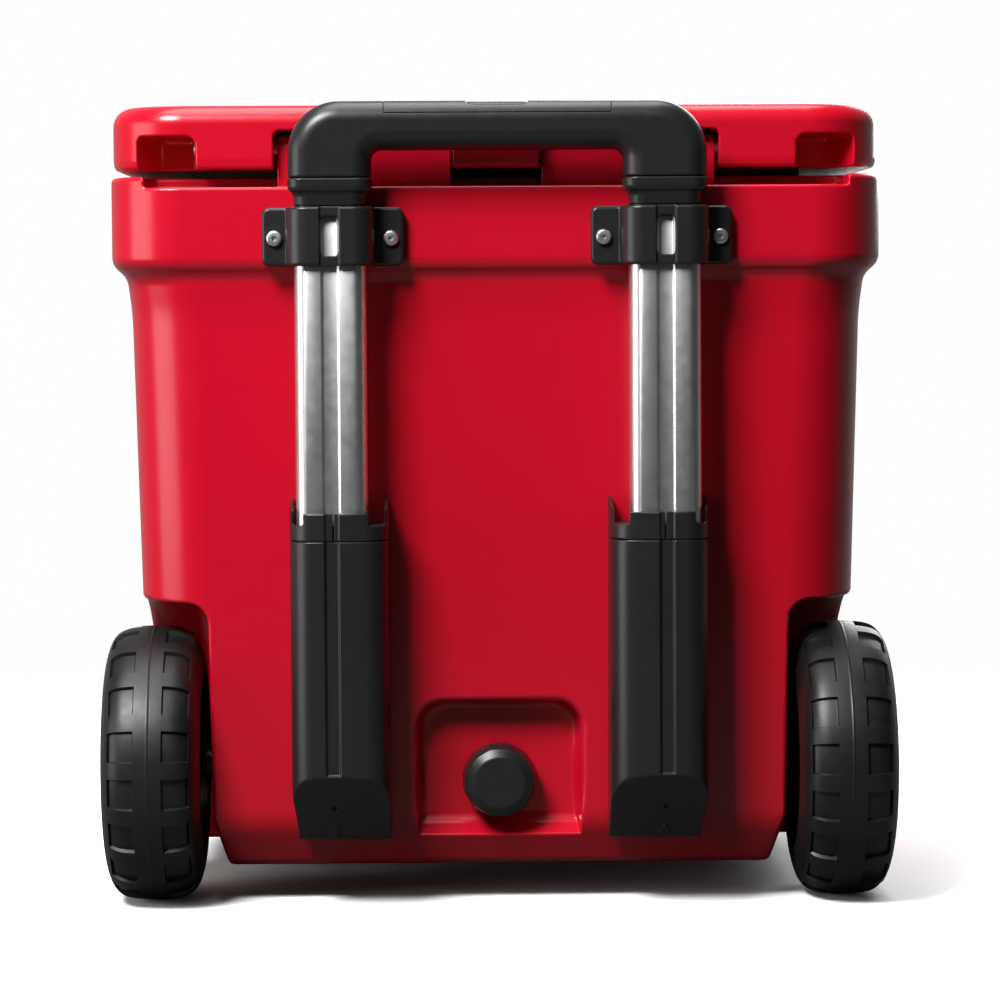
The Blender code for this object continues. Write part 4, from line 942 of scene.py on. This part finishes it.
def make_axle(surfaces, word, side):
    low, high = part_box("axle_left")
    radius = (high.z - low.z) / 2
    outline = ((0, low.x), (radius, low.x), (radius, high.x), (0, high.x))
    profile = [(r, side * along) for r, along in rounded_profile(outline, 0.8 * MM)]
    axle = turned(f"wheel_axle_{word}", profile, "X", (0, WHEEL_Y, WHEEL_Z), 48)
    fit(axle, surfaces, "bright_steel", "chest", f"axle_{word}")
    low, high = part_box("axle_spacer_left")
    bore = radius + GAP
    outline = ((bore, low.x), (12 * MM, low.x), (12 * MM, high.x - 4 * MM), (10.5 * MM, high.x), (bore, high.x), (bore, low.x))
    profile = [(r, side * along) for r, along in rounded_profile(outline, 0.7 * MM)]
    spacer = turned(f"wheel_spacer_{word}", profile, "X", (0, WHEEL_Y, WHEEL_Z), 48)
    fit(spacer, surfaces, "black_plastic", "chest", f"axle_spacer_{word}")


# ---------------------------------------------------------------- drain


def plug_field(x, y, z):
    """The plug's faceted head, with a bevelled round face, and its stem."""
    radius, turn = np.hypot(x, z - DRAIN_Z), np.arctan2(z - DRAIN_Z, x)
    sector = 2 * math.pi / PLUG_FACETS
    facet = radius * np.cos((turn + sector / 2) % sector - sector / 2)
    start, end = PLUG_HIGH.y - 22 * MM, PLUG_HIGH.y
    taper = np.maximum(y - start - 6 * MM, 0) * 0.16
    head = both(facet - PLUG_RADIUS * 0.985 + taper, radius - PLUG_RADIUS + taper, 1.5 * MM)
    bevel = (radius - PLUG_FACE_RADIUS) * 0.485 + (y - end) * 0.875
    head = both(both(head, bevel, 1 * MM), span(y, start, end), 0.5 * MM)
    stem = both(radius - 10.2 * MM, span(y, PLUG_LOW.y, start + 4 * MM), 1 * MM)
    return either(head, stem, 1 * MM)


def make_drain(surfaces):
    reach = PLUG_RADIUS + 2 * MM
    xs = mirrored_ticks(ticks(0, reach, 0.7 * MM))
    ys = ticks(PLUG_LOW.y - 2 * MM, PLUG_HIGH.y + 2 * MM, 3 * MM, ((PLUG_HIGH.y - 24 * MM, PLUG_HIGH.y + 2 * MM, 0.7 * MM),))
    zs = ticks(DRAIN_Z - reach, DRAIN_Z + reach, 0.7 * MM)
    plug = moulded("drain_cap", plug_field, xs, ys, zs)
    fit(plug, surfaces, "black_plastic", "drain_plug", "drain_plug")


# ---------------------------------------------------------------- handle tubes


def tube_outline(half, reach, corner, groove_half, groove_depth, steps=8):
    """Outline of a tube round its own middle, with a groove down its rear face."""
    points = []
    centres = ((half - corner, reach - corner, 0), (corner - half, reach - corner, 90))
    centres += ((corner - half, corner - reach, 180), (half - corner, corner - reach, 270))
    for number, (across, along, start) in enumerate(centres):
        for step in range(steps + 1):
            angle = math.radians(start + 90 * step / steps)
            points.append((across + corner * math.cos(angle), along + corner * math.sin(angle)))
        if number == 0:
            lip = [(groove_half - 2.4 * MM * share, groove_depth * swell(share)) for share in np.linspace(0, 1, 7)]
            points += [(across, reach - drop) for across, drop in lip]
            points += [(-across, reach - drop) for across, drop in reversed(lip)]
    return points


def tube(name, side, outer, inner, low_z, high_z):
    """A hollow extrusion between two outlines, with its outer ends chamfered."""
    chamfer = 0.4 * MM
    rings = [(inner, low_z, 1), (outer, low_z, 0.985), (outer, low_z + chamfer, 1)]
    rings += [(outer, high_z - chamfer, 1), (outer, high_z, 0.985), (inner, high_z, 1)]
    points = []
    for outline, z, scale in rings:
        points += [(side * TUBE_X + x * scale, TUBE_Y + y * scale, z) for x, y in outline]
    grid = np.arange(len(points)).reshape(len(rings), len(outer))
    after, beyond = np.roll(grid, -1, 1), np.roll(grid, -1, 0)
    faces = np.stack([grid, after, np.roll(beyond, -1, 1), beyond], -1).reshape(-1, 4)
    made = mesh_object(name, np.array(points), faces)
    outward(made.data)
    made.data.set_sharp_from_angle(angle=math.radians(28))
    return made


def make_tubes(surfaces):
    sizes = (
        ("outer_tube", "chest", 9 * MM, 1.8 * MM, 6.5 * MM, 1.2 * MM),
        ("mid_tube", "mid_stage", 6 * MM, 1.5 * MM, 4 * MM, 1.0 * MM),
        ("inner_tube", "grip", 4.5 * MM, 1.5 * MM, 4 * MM, 0.5 * MM),
    )
    for word, side in SIDES:
        for node_name, body, corner, wall, groove_half, groove_depth in sizes:
            low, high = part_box(f"{node_name}_{word}")
            half, reach = (high.x - low.x) / 2, (high.y - low.y) / 2
            outer = tube_outline(half, reach, corner, groove_half, groove_depth)
            inner = tube_outline(half - wall, reach - wall, corner - wall, groove_half, groove_depth / 2)
            made = tube(f"{node_name}_skin_{word}", side, outer, inner, low.z, high.z)
            fit(made, surfaces, "anodised_aluminium", body, f"{node_name}_{word}")


def tube_bore(x, y, half, reach, corner):
    return oblong(x - TUBE_X, y - TUBE_Y, half + GAP, reach + GAP, corner)


def mid_collar_field(x, y, z):
    """The ring on top of a mid tube: a tapered neck under a bead."""
    low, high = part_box("mid_collar_left")
    half = np.interp(z, *eased_path(((low.z, 23.5 * MM), (0.4790, 24.0 * MM), (0.4822, 27.6 * MM), (0.4890, 27.8 * MM), (high.z, 26.6 * MM)), 2 * MM))
    reach = np.interp(z, *eased_path(((low.z, 13.5 * MM), (0.4790, 14.5 * MM), (0.4822, 17.5 * MM), (0.4890, 17.8 * MM), (high.z, 16.8 * MM)), 2 * MM))
    ring = oblong(x - TUBE_X, y - TUBE_Y, half, reach, 10 * MM)
    ring = both(ring, span(z, low.z, high.z), 0.8 * MM)
    bore = tube_bore(x, y, 18 * MM, 6.2 * MM, 4.5 * MM)
    return without(ring, bore, 0.4 * MM)


# ---------------------------------------------------------------- brackets and housings


def bracket_field(x, y, z):
    """A bracket: two flat ears and a bulge round the tube, with a window in its groove."""
    middle_x, reach_x = (BRACKET_LOW.x + BRACKET_HIGH.x) / 2, (BRACKET_HIGH.x - BRACKET_LOW.x) / 2
    middle_z, reach_z = (BRACKET_LOW.z + BRACKET_HIGH.z) / 2, (BRACKET_HIGH.z - BRACKET_LOW.z) / 2
    ears = oblong(x - middle_x, z - middle_z, reach_x, reach_z, 5 * MM)
    ears = both(ears, span(y, BRACKET_LOW.y, REAR + EAR_DEPTH), 2.4 * MM)
    bulge = oblong(x - TUBE_X, y - REAR, BULGE_HALF, HANDLE_REAR - REAR, 14 * MM)
    bulge = both(bulge, np.abs(z - middle_z) - reach_z, 2.2 * MM)
    bulge = both(bulge, BRACKET_LOW.y - y, 1 * MM)
    bracket = either(ears, bulge, 1.5 * MM)
    groove = both(HANDLE_REAR - 1.6 * MM - y, np.abs(x - TUBE_X) - WINDOW_HALF, 1 * MM)
    bracket = without(bracket, groove, 0.8 * MM)
    window = oblong(x - TUBE_X, z - middle_z, WINDOW_HALF - 0.6 * MM, reach_z - 6.5 * MM, 3.5 * MM)
    bracket = without(bracket, both(window, TUBE_Y - y, 1 * MM), 0.8 * MM)
    bore = both(tube_bore(x, y, 21 * MM, 8.8 * MM, 6 * MM), BRACKET_LOW.z - 5 * MM - z, 1 * MM)
    bracket = without(bracket, bore, 0.5 * MM)
    outer = both(tube_bore(x, y, TUBE_HALF, TUBE_REACH, 8 * MM), z - TUBE_HIGH.z - GAP, 0.5 * MM)
    return without(bracket, outer, 0.5 * MM)


def make_brackets(surfaces):
    margin = 2 * MM
    fine = 0.8 * MM
    xs = ticks(BRACKET_LOW.x - margin, BRACKET_HIGH.x + margin, fine)
    ys = ticks(BRACKET_LOW.y - margin, BRACKET_HIGH.y + margin, fine)
    zs = ticks(BRACKET_LOW.z - margin, BRACKET_HIGH.z + margin, 1.2 * MM, ((BRACKET_LOW.z - margin, BRACKET_LOW.z + 10 * MM, fine), (BRACKET_HIGH.z - 11 * MM, BRACKET_HIGH.z + margin, fine)))
    left = moulded("tube_bracket_left", bracket_field, xs, ys, zs)
    for word, side in SIDES:
        bracket = left if side > 0 else twin(left, "tube_bracket_right")
        fit(bracket, surfaces, "black_plastic", "chest", f"upper_bracket_{word}")
    for number in range(1, 5):
        make_screw(surfaces, number)


def make_screw(surfaces, number):
    """A button-head screw with a hexagonal socket."""
    low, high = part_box(f"bracket_screw_{number}")
    centre = ((low.x + high.x) / 2, (low.z + high.z) / 2)
    head = REAR + EAR_DEPTH + GAP
    outline = [(0.5 * MM, low.y), (2.5 * MM, low.y), (2.5 * MM, head), (5.3 * MM, head), (5.3 * MM, head + 0.9 * MM)]
    dome = high.y - head - 0.9 * MM
    outline += [(5.3 * MM - 1.6 * MM * (1 - math.cos(t)), head + 0.9 * MM + dome * math.sin(t)) for t in np.linspace(0.2, math.pi / 2, 7)]
    steps, points = 60, []
    for radius, along in outline:
        turns = [2 * math.pi * i / steps for i in range(steps)]
        points += [(centre[0] + radius * math.sin(t), along, centre[1] + radius * math.cos(t)) for t in turns]
    for scale, along in ((1.0, high.y), (0.96, high.y - 0.2 * MM), (0.94, head + 0.9 * MM), (0.2, head + 0.7 * MM)):
        for i in range(steps):
            turn = 2 * math.pi * i / steps
            local = (turn + math.pi / 6) % (math.pi / 3) - math.pi / 6
            radius = scale * 1.75 * MM / math.cos(local)
            points.append((centre[0] + radius * math.sin(turn), along, centre[1] + radius * math.cos(turn)))
    rows = len(points) // steps
    grid = np.arange(len(points)).reshape(rows, steps)
    after = np.roll(grid, -1, 1)
    faces = np.stack([grid[:-1], after[:-1], after[1:], grid[1:]], -1).reshape(-1, 4).tolist()
    faces += [grid[0].tolist()[::-1], grid[-1].tolist()]
    screw = mesh_object(f"cap_screw_{number}", np.array(points), np.array(faces, dtype=object))
    outward(screw.data)
    screw.data.set_sharp_from_angle(angle=math.radians(35))
    fit(screw, surfaces, "bright_steel", "chest", f"bracket_screw_{number}")


def housing_plan(x, y, z):
    """The housing's upright walls, with wide round corners at the rear."""
    outer = HOUSING_HIGH.x - 3.5 * MM * swell((HOUSING_LOW.z + 45 * MM - z) / (45 * MM))
    middle, half = (HOUSING_LOW.x + outer) / 2, (outer - HOUSING_LOW.x) / 2
    crown = (x - TUBE_X) ** 2 / 0.32
    return oblong(x - middle, y - REAR + crown, half, HANDLE_REAR - REAR, 15 * MM)


def housing_front(y, z):
    """How far a place is in front of the tub's rear wall."""
    return REAR - np.interp(z, *INSET_BY_HEIGHT) + 0.4 * MM - y


def centre_groove(x, y, low_z, z, half, depth):
    floor = HANDLE_REAR - depth - y
    sides = np.abs(x - TUBE_X) - half - (y - HANDLE_REAR) * 0.5
    return both(both(floor, sides, 0.8 * MM), low_z - z, 1 * MM)


def housing_field(x, y, z):
    body = both(housing_plan(x, y, z), span(z, HOUSING_LOW.z, HOUSING_HIGH.z), 0.9 * MM)
    body = both(body, housing_front(y, np.maximum(z, CHAMFER_Z)), 0.8 * MM)
    foot_y = REAR - TUB_LOW_INSET + 12 * MM
    run, rise = HANDLE_REAR - foot_y, RAMP_TOP_Z - HOUSING_LOW.z
    length = math.hypot(run, rise)
    ramp = ((y - foot_y) * rise - (z - HOUSING_LOW.z) * run) / length
    body = both(body, ramp, 1.0 * MM)
    dimple = np.sqrt((x - TUBE_X) ** 2 + ramp**2 + (z - 71 * MM) ** 2) - 1.6 * MM
    body = without(body, dimple, 0.8 * MM)
    boss = np.sqrt((x - TUBE_X) ** 2 + (z - 53 * MM) ** 2) - 3.4 * MM
    body = either(body, both(boss, ramp - 0.7 * MM, 0.5 * MM), 0.4 * MM)
    body = without(body, centre_groove(x, y, RAMP_TOP_Z + 1 * MM, z, 5 * MM, 2 * MM), 0.8 * MM)
    socket = both(tube_bore(x, y, TUBE_HALF, TUBE_REACH, 8 * MM), TUBE_LOW.z - GAP - z, 0.5 * MM)
    return without(body, socket, 0.5 * MM)


def housing_collar_field(x, y, z):
    slope = 8 * MM * (y - REAR) / (HANDLE_REAR - REAR)
    top = z - COLLAR_HIGH.z + np.maximum(slope, 0)
    body = both(housing_plan(x, y, z), top, 1.2 * MM)
    body = both(body, COLLAR_LOW.z - z, 0.6 * MM)
    body = both(body, housing_front(y, z), 0.8 * MM)
    middle, half = (COLLAR_LOW.x + COLLAR_HIGH.x) / 2, (COLLAR_HIGH.x - COLLAR_LOW.x) / 2
    well = oblong(x - middle, y - REAR - 2 * MM, half - 2.6 * MM, HANDLE_REAR - REAR - 4.6 * MM, 9 * MM)
    body = without(body, both(well, COLLAR_HIGH.z - 16 * MM - z, 1 * MM), 0.7 * MM)
    body = without(body, centre_groove(x, y, 0, z, 5 * MM, 1.2 * MM), 0.6 * MM)
    slit = both(np.abs(x - TUBE_X + 1 * MM) - 0.5 * MM, HANDLE_REAR - 4 * MM - y, 0.2 * MM)
    body = without(body, slit, 0.3 * MM)
    return without(body, tube_bore(x, y, TUBE_HALF, TUBE_REACH, 8 * MM), 0.5 * MM)


def make_housings(surfaces):
    margin = 2 * MM
    fine = 0.9 * MM
    groove = (TUBE_X - 7 * MM, TUBE_X + 7 * MM, 0.5 * MM)
    xs = ticks(HOUSING_LOW.x - margin, HOUSING_HIGH.x + margin, 1.4 * MM, (groove,))
    ys = ticks(HOUSING_LOW.y - margin, HANDLE_REAR + margin, 1.2 * MM, ((HANDLE_REAR - 4 * MM, HANDLE_REAR + margin, 0.6 * MM),))
    zs = ticks(HOUSING_LOW.z - margin, HOUSING_HIGH.z + margin, 4 * MM, ((HOUSING_LOW.z - margin, RAMP_TOP_Z + 5 * MM, 1.2 * MM), (HOUSING_HIGH.z - 3 * MM, HOUSING_HIGH.z + margin, 0.6 * MM)))
    left = moulded("tube_housing_left", housing_field, xs, ys, zs)
    zs = ticks(COLLAR_LOW.z - margin, COLLAR_HIGH.z + margin, fine)
    collar = moulded("housing_ring_left", housing_collar_field, xs, ys, zs)
    bead_low, bead_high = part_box("mid_collar_left")
    xs = ticks(bead_low.x - margin, bead_high.x + margin, fine)
    ys = ticks(bead_low.y - margin, bead_high.y + margin, fine)
    zs = ticks(bead_low.z - margin, bead_high.z + margin, 0.6 * MM)
    bead = moulded("tube_ring_left", mid_collar_field, xs, ys, zs)
    for word, side in SIDES:
        for source, name, body, cad_name in (
            (left, "tube_housing", "chest", "housing"),
            (collar, "housing_ring", "chest", "housing_collar"),
            (bead, "tube_ring", "mid_stage", "mid_collar"),
        ):
            made = source if side > 0 else twin(source, f"{name}_right")
            fit(made, surfaces, "black_plastic", body, f"{cad_name}_{word}")


# ---------------------------------------------------------------- grip


def grip_outside(x, y, z):
    """The whole grip: a bar with two legs, rounded all along its edges."""
    half = GRIP_HIGH.x
    tall = 0.2
    outline = oblong(x, z - GRIP_HIGH.z + tall, half, tall, GRIP_CORNER)
    hollow = oblong(x, z - GRIP_UNDER_Z + tall, GRIP_IN, tall, 7 * MM)
    outline = without(outline, hollow, 1 * MM)
    thickness = np.abs(y - HANDLE_MIDDLE_Y) - (HANDLE_REAR - REAR) / 2
    return both(both(outline, thickness, 13 * MM), GRIP_LOW.z - z, 1.2 * MM)


def cover_cut(x, y, z, clearance):
    """The room of the cover on top of the grip."""
    across = np.abs(x) - COVER_HIGH.x - 0.3 * clearance
    return both(across, COVER_LOW.z - clearance - z, 0.5 * MM)


def button_cut(x, y, outset):
    return oblong(x, y - HANDLE_MIDDLE_Y, BUTTON_HALF + outset, BUTTON_REACH + outset, 5 * MM)


def grip_channel(x, y, z):
    """The room inside the grip for the release yoke, and the sockets for the inner tubes."""
    yoke_low, yoke_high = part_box("release_yoke")
    along = np.abs(y - TUBE_Y) - 7.5 * MM
    floor = yoke_low.z - 5 * MM
    channel = np.maximum(np.maximum(np.abs(x) - yoke_high.x - 3 * MM, along), span(z, floor, COVER_LOW.z - 2 * MM))
    opening = np.maximum(np.maximum(np.abs(x) - 60 * MM, along), floor + 2 * MM - z)
    socket = oblong(np.abs(x) - TUBE_X, y - TUBE_Y, 18 * MM + GAP, 6.2 * MM + GAP, 4.5 * MM)
    socket = np.maximum(socket, z - floor - 1 * MM)
    spring_low, spring_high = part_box("button_spring")
    seat = np.hypot(x, y - TUBE_Y) - spring_high.x - 1 * MM
    seat = np.maximum(seat, span(z, spring_low.z - GAP, floor + 3 * MM))
    return np.minimum(np.minimum(channel, opening), np.minimum(socket, seat))


def grip_body_field(x, y, z):
    body = without(grip_outside(x, y, z), cover_cut(x, y, z, 0.12 * MM), 0.25 * MM)
    return without(body, grip_channel(x, y, z), 0.4 * MM)


def grip_cover_field(x, y, z):
    cover = both(grip_outside(x, y, z), cover_cut(x, y, z, -0.1 * MM), 0.25 * MM)
    return without(cover, button_cut(x, y, 0.5 * MM), 0.5 * MM)


def button_field(x, y, z):
    """The button is a little lower than the grip's top, and follows its rounded edges."""
    top = both(grip_outside(x, y, z) + 0.6 * MM, button_cut(x, y, -0.1 * MM), 1.2 * MM)
    low_z = COVER_LOW.z + 4.6 * MM
    cap = both(top, low_z - z, 0.4 * MM)
    yoke_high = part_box("release_yoke")[1]
    stem = np.maximum(oblong(x, y - TUBE_Y, 10 * MM, 5 * MM, 1 * MM), span(z, yoke_high.z + GAP, low_z + 1 * MM))
    return either(cap, stem, 0.3 * MM)


def make_grip(surfaces):
    margin = 2 * MM
    fine = 1.1 * MM
    seam_x = (COVER_HIGH.x - 2 * MM, COVER_HIGH.x + 2 * MM, 0.35 * MM)
    seam_z = (COVER_LOW.z - 1.5 * MM, COVER_LOW.z + 1.5 * MM, 0.3 * MM)
    xs = mirrored_ticks(
        ticks(0, GRIP_HIGH.x + margin, 2.5 * MM, (seam_x, (GRIP_IN - 8 * MM, GRIP_HIGH.x + margin, fine)))
    )
    ys = ticks(REAR - margin, HANDLE_REAR + margin, fine)
    zs = ticks(GRIP_LOW.z - margin, GRIP_HIGH.z + margin, fine, (seam_z,))
    body = moulded("handle_grip", grip_body_field, xs, ys, zs)
    fit(body, surfaces, "black_plastic", "grip", "grip_body")
    button_x = (BUTTON_HALF - 3 * MM, BUTTON_HALF + 2 * MM, 0.35 * MM)
    button_y = [(HANDLE_MIDDLE_Y + s * BUTTON_REACH - 2 * MM, HANDLE_MIDDLE_Y + s * BUTTON_REACH + 2 * MM, 0.35 * MM) for s in (-1, 1)]
    xs = mirrored_ticks(ticks(0, COVER_HIGH.x + margin, 2.5 * MM, (seam_x, button_x)))
    ys = ticks(REAR - margin, HANDLE_REAR + margin, fine, button_y)
    zs = ticks(COVER_LOW.z - margin, GRIP_HIGH.z + margin, 0.8 * MM, (seam_z,))
    cover = moulded("grip_cover", grip_cover_field, xs, ys, zs)
    fit(cover, surfaces, "black_plastic", "grip", "grip_top_cover")
    xs = mirrored_ticks(ticks(0, BUTTON_HALF + margin, 0.7 * MM))
    ys = ticks(HANDLE_MIDDLE_Y - BUTTON_REACH - margin, HANDLE_MIDDLE_Y + BUTTON_REACH + margin, 0.7 * MM)
    zs = ticks(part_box("release_yoke")[1].z - margin, GRIP_HIGH.z + margin, 0.6 * MM)
    button = moulded("release_button", button_field, xs, ys, zs)
    fit(button, surfaces, "black_plastic", "release", "grip_button")


# ---------------------------------------------------------------- latches


def latch_field(x, y, z):
    """A latch: a barrel round its pin, a strap with a hook behind, and a ribbed pull."""
    lean = math.radians(8)
    ahead, up = y - LATCH_PIN_Y, z - LATCH_PIN_Z
    y = ahead * math.cos(lean) - up * math.sin(lean)
    z = ahead * math.sin(lean) + up * math.cos(lean)
    flare = swell((-80 * MM - z) / (24 * MM))
    middle, reach = -8.5 * MM - 5.2 * MM * flare, 3.0 * MM + 0.4 * MM * flare
    strap = both(np.abs(y - middle) - reach, span(z, -103.4 * MM, -3 * MM), 2.4 * MM)
    barrel = np.hypot(y, z) - 6.1 * MM
    shape = either(barrel, strap, 3 * MM)
    waist = 2.6 * MM * swell((-14 * MM - z) / (16 * MM)) * swell((z + 86 * MM) / (16 * MM))
    across = x - LATCH_X
    shape = both(shape, np.abs(across) - 21.9 * MM + waist, 1.6 * MM)
    hook = both(span(y, -7 * MM, 2.4 * MM), span(z, -73.2 * MM, -65.9 * MM), 1.6 * MM)
    shape = either(shape, both(hook, np.abs(across) - 17 * MM, 1.2 * MM), 0.8 * MM)
    outer = middle - reach
    panel = oblong(across, z + 43 * MM, 12.5 * MM, 21 * MM, 5 * MM)
    shape = without(shape, both(panel, y - outer - 1.3 * MM, 0.5 * MM), 0.9 * MM)
    pitch = 3.6 * MM
    along = (z + 83 * MM) % pitch - pitch / 2
    ribs = np.hypot(y - outer + 0.2 * MM, along) - 1.0 * MM
    ribs = both(both(ribs, np.abs(across) - 16 * MM, 0.5 * MM), span(z, -100 * MM, -84 * MM), 0.3 * MM)
    shape = without(shape, ribs, 0.3 * MM)
    bore = np.hypot(y, z) - (PIN_HIGH.z - PIN_LOW.z) / 2 - GAP
    return without(shape, bore, 0.3 * MM)


def make_latches(surfaces):
    low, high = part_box("latch_left")
    margin = 2 * MM
    xs = ticks(low.x - margin, high.x + margin, 1.0 * MM)
    ys = ticks(low.y - margin, high.y + margin, 0.55 * MM)
    zs = ticks(low.z - margin, high.z + margin, 0.6 * MM)
    left = moulded("pull_latch_left", latch_field, xs, ys, zs)
    for word, side in SIDES:
        latch = left if side > 0 else twin(left, "pull_latch_right")
        fit(latch, surfaces, "black_plastic", f"latch_{word}", f"latch_{word}")


# ---------------------------------------------------------------- stage


def area_light(name, place, aim, size, power, colour=(1, 1, 1)):
    data = bpy.data.lights.new(name, "AREA")
    data.shape = "RECTANGLE"
    data.size, data.size_y = size
    data.energy = power
    data.color = colour
    made = bpy.data.objects.new(name, data)
    made.location = place
    made.rotation_euler = (Vector(aim) - Vector(place)).to_track_quat("-Z", "Y").to_euler()
    bpy.context.scene.collection.objects.link(made)


def make_lights():
    middle = (0, 0.15, 0.28)
    area_light("key", (1.02, 1.70, 2.10), middle, (0.9, 0.9), 98)
    area_light("side", (2.3, 0.95, 0.50), middle, (1.5, 1.3), 20)
    area_light("top", (0.15, 0.05, 2.2), middle, (1.8, 1.0), 30)
    area_light("front", (-0.9, -2.2, 1.3), middle, (1.6, 1.6), 40)


def camera_switch(tree, seen, otherwise):
    """One value for what the camera sees directly and another for light that bounces."""
    path = tree.nodes.new("ShaderNodeLightPath")
    mix = node(tree, "ShaderNodeMapRange", To_Min=otherwise, To_Max=seen)
    tree.links.new(path.outputs["Is Camera Ray"], mix.inputs["Value"])
    return mix


def make_world():
    """A white backdrop in a dim studio, which is paler behind the chest than in front of it."""
    world = bpy.data.worlds.new("studio")
    world.use_nodes = True
    tree = world.node_tree
    background = tree.nodes["Background"]
    direction = tree.nodes.new("ShaderNodeTexCoord").outputs["Generated"]
    parts = tree.nodes.new("ShaderNodeSeparateXYZ")
    tree.links.new(direction, parts.inputs["Vector"])
    fade = node(tree, "ShaderNodeMapRange", From_Min=-0.7, From_Max=0.1, To_Min=0.35, To_Max=0.03)
    tree.links.new(parts.outputs["Y"], fade.inputs["Value"])
    strength = camera_switch(tree, 1.0, 0.0)
    tree.links.new(fade.outputs["Result"], strength.inputs["To Min"])
    tree.links.new(strength.outputs["Result"], background.inputs["Strength"])
    background.inputs["Color"].default_value = (1, 1, 1, 1)
    bpy.context.scene.world = world


def make_floor():
    """A round white floor, whose edge fades into the backdrop."""
    steps, reach = 96, 3.0
    turns = [2 * math.pi * i / steps for i in range(steps)]
    points = np.array([(reach * math.cos(t), reach * math.sin(t), 0) for t in turns])
    floor = mesh_object("floor", points, np.array([range(steps)]))
    pale = bpy.data.materials.new("pale_floor")
    pale.use_nodes = True
    tree = pale.node_tree
    tree.nodes.remove(tree.nodes["Principled BSDF"])
    diffuse = tree.nodes.new("ShaderNodeBsdfDiffuse")
    tint = tree.nodes.new("ShaderNodeCombineColor")
    bright = camera_switch(tree, 1.7, 0.05)
    gloss = node(tree, "ShaderNodeMapRange", To_Min=0.05, To_Max=0.12)
    tree.links.new(tree.nodes.new("ShaderNodeLightPath").outputs["Is Glossy Ray"], gloss.inputs["Value"])
    tree.links.new(gloss.outputs["Result"], bright.inputs["To Min"])
    for channel in ("Red", "Green", "Blue"):
        tree.links.new(bright.outputs["Result"], tint.inputs[channel])
    tree.links.new(tint.outputs["Color"], diffuse.inputs["Color"])
    distance = node(tree, "ShaderNodeVectorMath")
    distance.operation = "LENGTH"
    tree.links.new(tree.nodes.new("ShaderNodeTexCoord").outputs["Object"], distance.inputs[0])
    fade = node(tree, "ShaderNodeMapRange", From_Min=0.75, From_Max=1.5, To_Min=0.0, To_Max=1.0)
    fade.interpolation_type = "SMOOTHSTEP"
    tree.links.new(distance.outputs["Value"], fade.inputs["Value"])
    clear = tree.nodes.new("ShaderNodeBsdfTransparent")
    mix = tree.nodes.new("ShaderNodeMixShader")
    tree.links.new(fade.outputs["Result"], mix.inputs["Fac"])
    tree.links.new(diffuse.outputs["BSDF"], mix.inputs[1])
    tree.links.new(clear.outputs["BSDF"], mix.inputs[2])
    tree.links.new(mix.outputs["Shader"], tree.nodes["Material Output"].inputs["Surface"])
    floor.data.materials.append(pale)


def make_camera():
    """Looks at the chest's rear from a little above the middle and to its left."""
    data = bpy.data.cameras.new("camera")
    data.lens, data.sensor_width = 129.6, 36
    camera = bpy.data.objects.new("camera", data)
    yaw, pitch, roll = math.radians(-1.01), math.radians(3.15), math.radians(0.33)
    across, ahead, up = Vector((-1, 0, 0)), Vector((0, -1, 0)), Vector((0, 0, 1))
    turn = Matrix.Rotation(yaw, 3, "Z")
    across, ahead = turn @ across, turn @ ahead
    turn = Matrix.Rotation(-pitch, 3, across)
    ahead, up = turn @ ahead, turn @ up
    turn = Matrix.Rotation(roll, 3, ahead)
    across, up = turn @ across, turn @ up
    pose = Matrix((across, up, -ahead)).transposed().to_4x4()
    pose.translation = (0.0414, 2.6038, 0.4078)
    camera.matrix_world = pose
    bpy.context.scene.collection.objects.link(camera)
    bpy.context.scene.camera = camera


def main():
    surfaces = make_surfaces()
    dress_cad_nodes(surfaces)
    make_tub(surfaces)
    make_liner(surfaces)
    make_foam(surfaces)
    make_foot_pads(surfaces)
    make_lid(surfaces)
    make_rod(surfaces)
    make_wheels(surfaces)
    make_drain(surfaces)
    make_tubes(surfaces)
    make_brackets(surfaces)
    make_housings(surfaces)
    make_grip(surfaces)
    make_latches(surfaces)
    for name in ("latch_keeper_left", "latch_keeper_right"):
        soften_cad_node(name, 0.6 * MM)
    make_world()
    make_lights()
    make_floor()
    make_camera()
    bpy.context.scene.view_settings.view_transform = "Standard"


main()
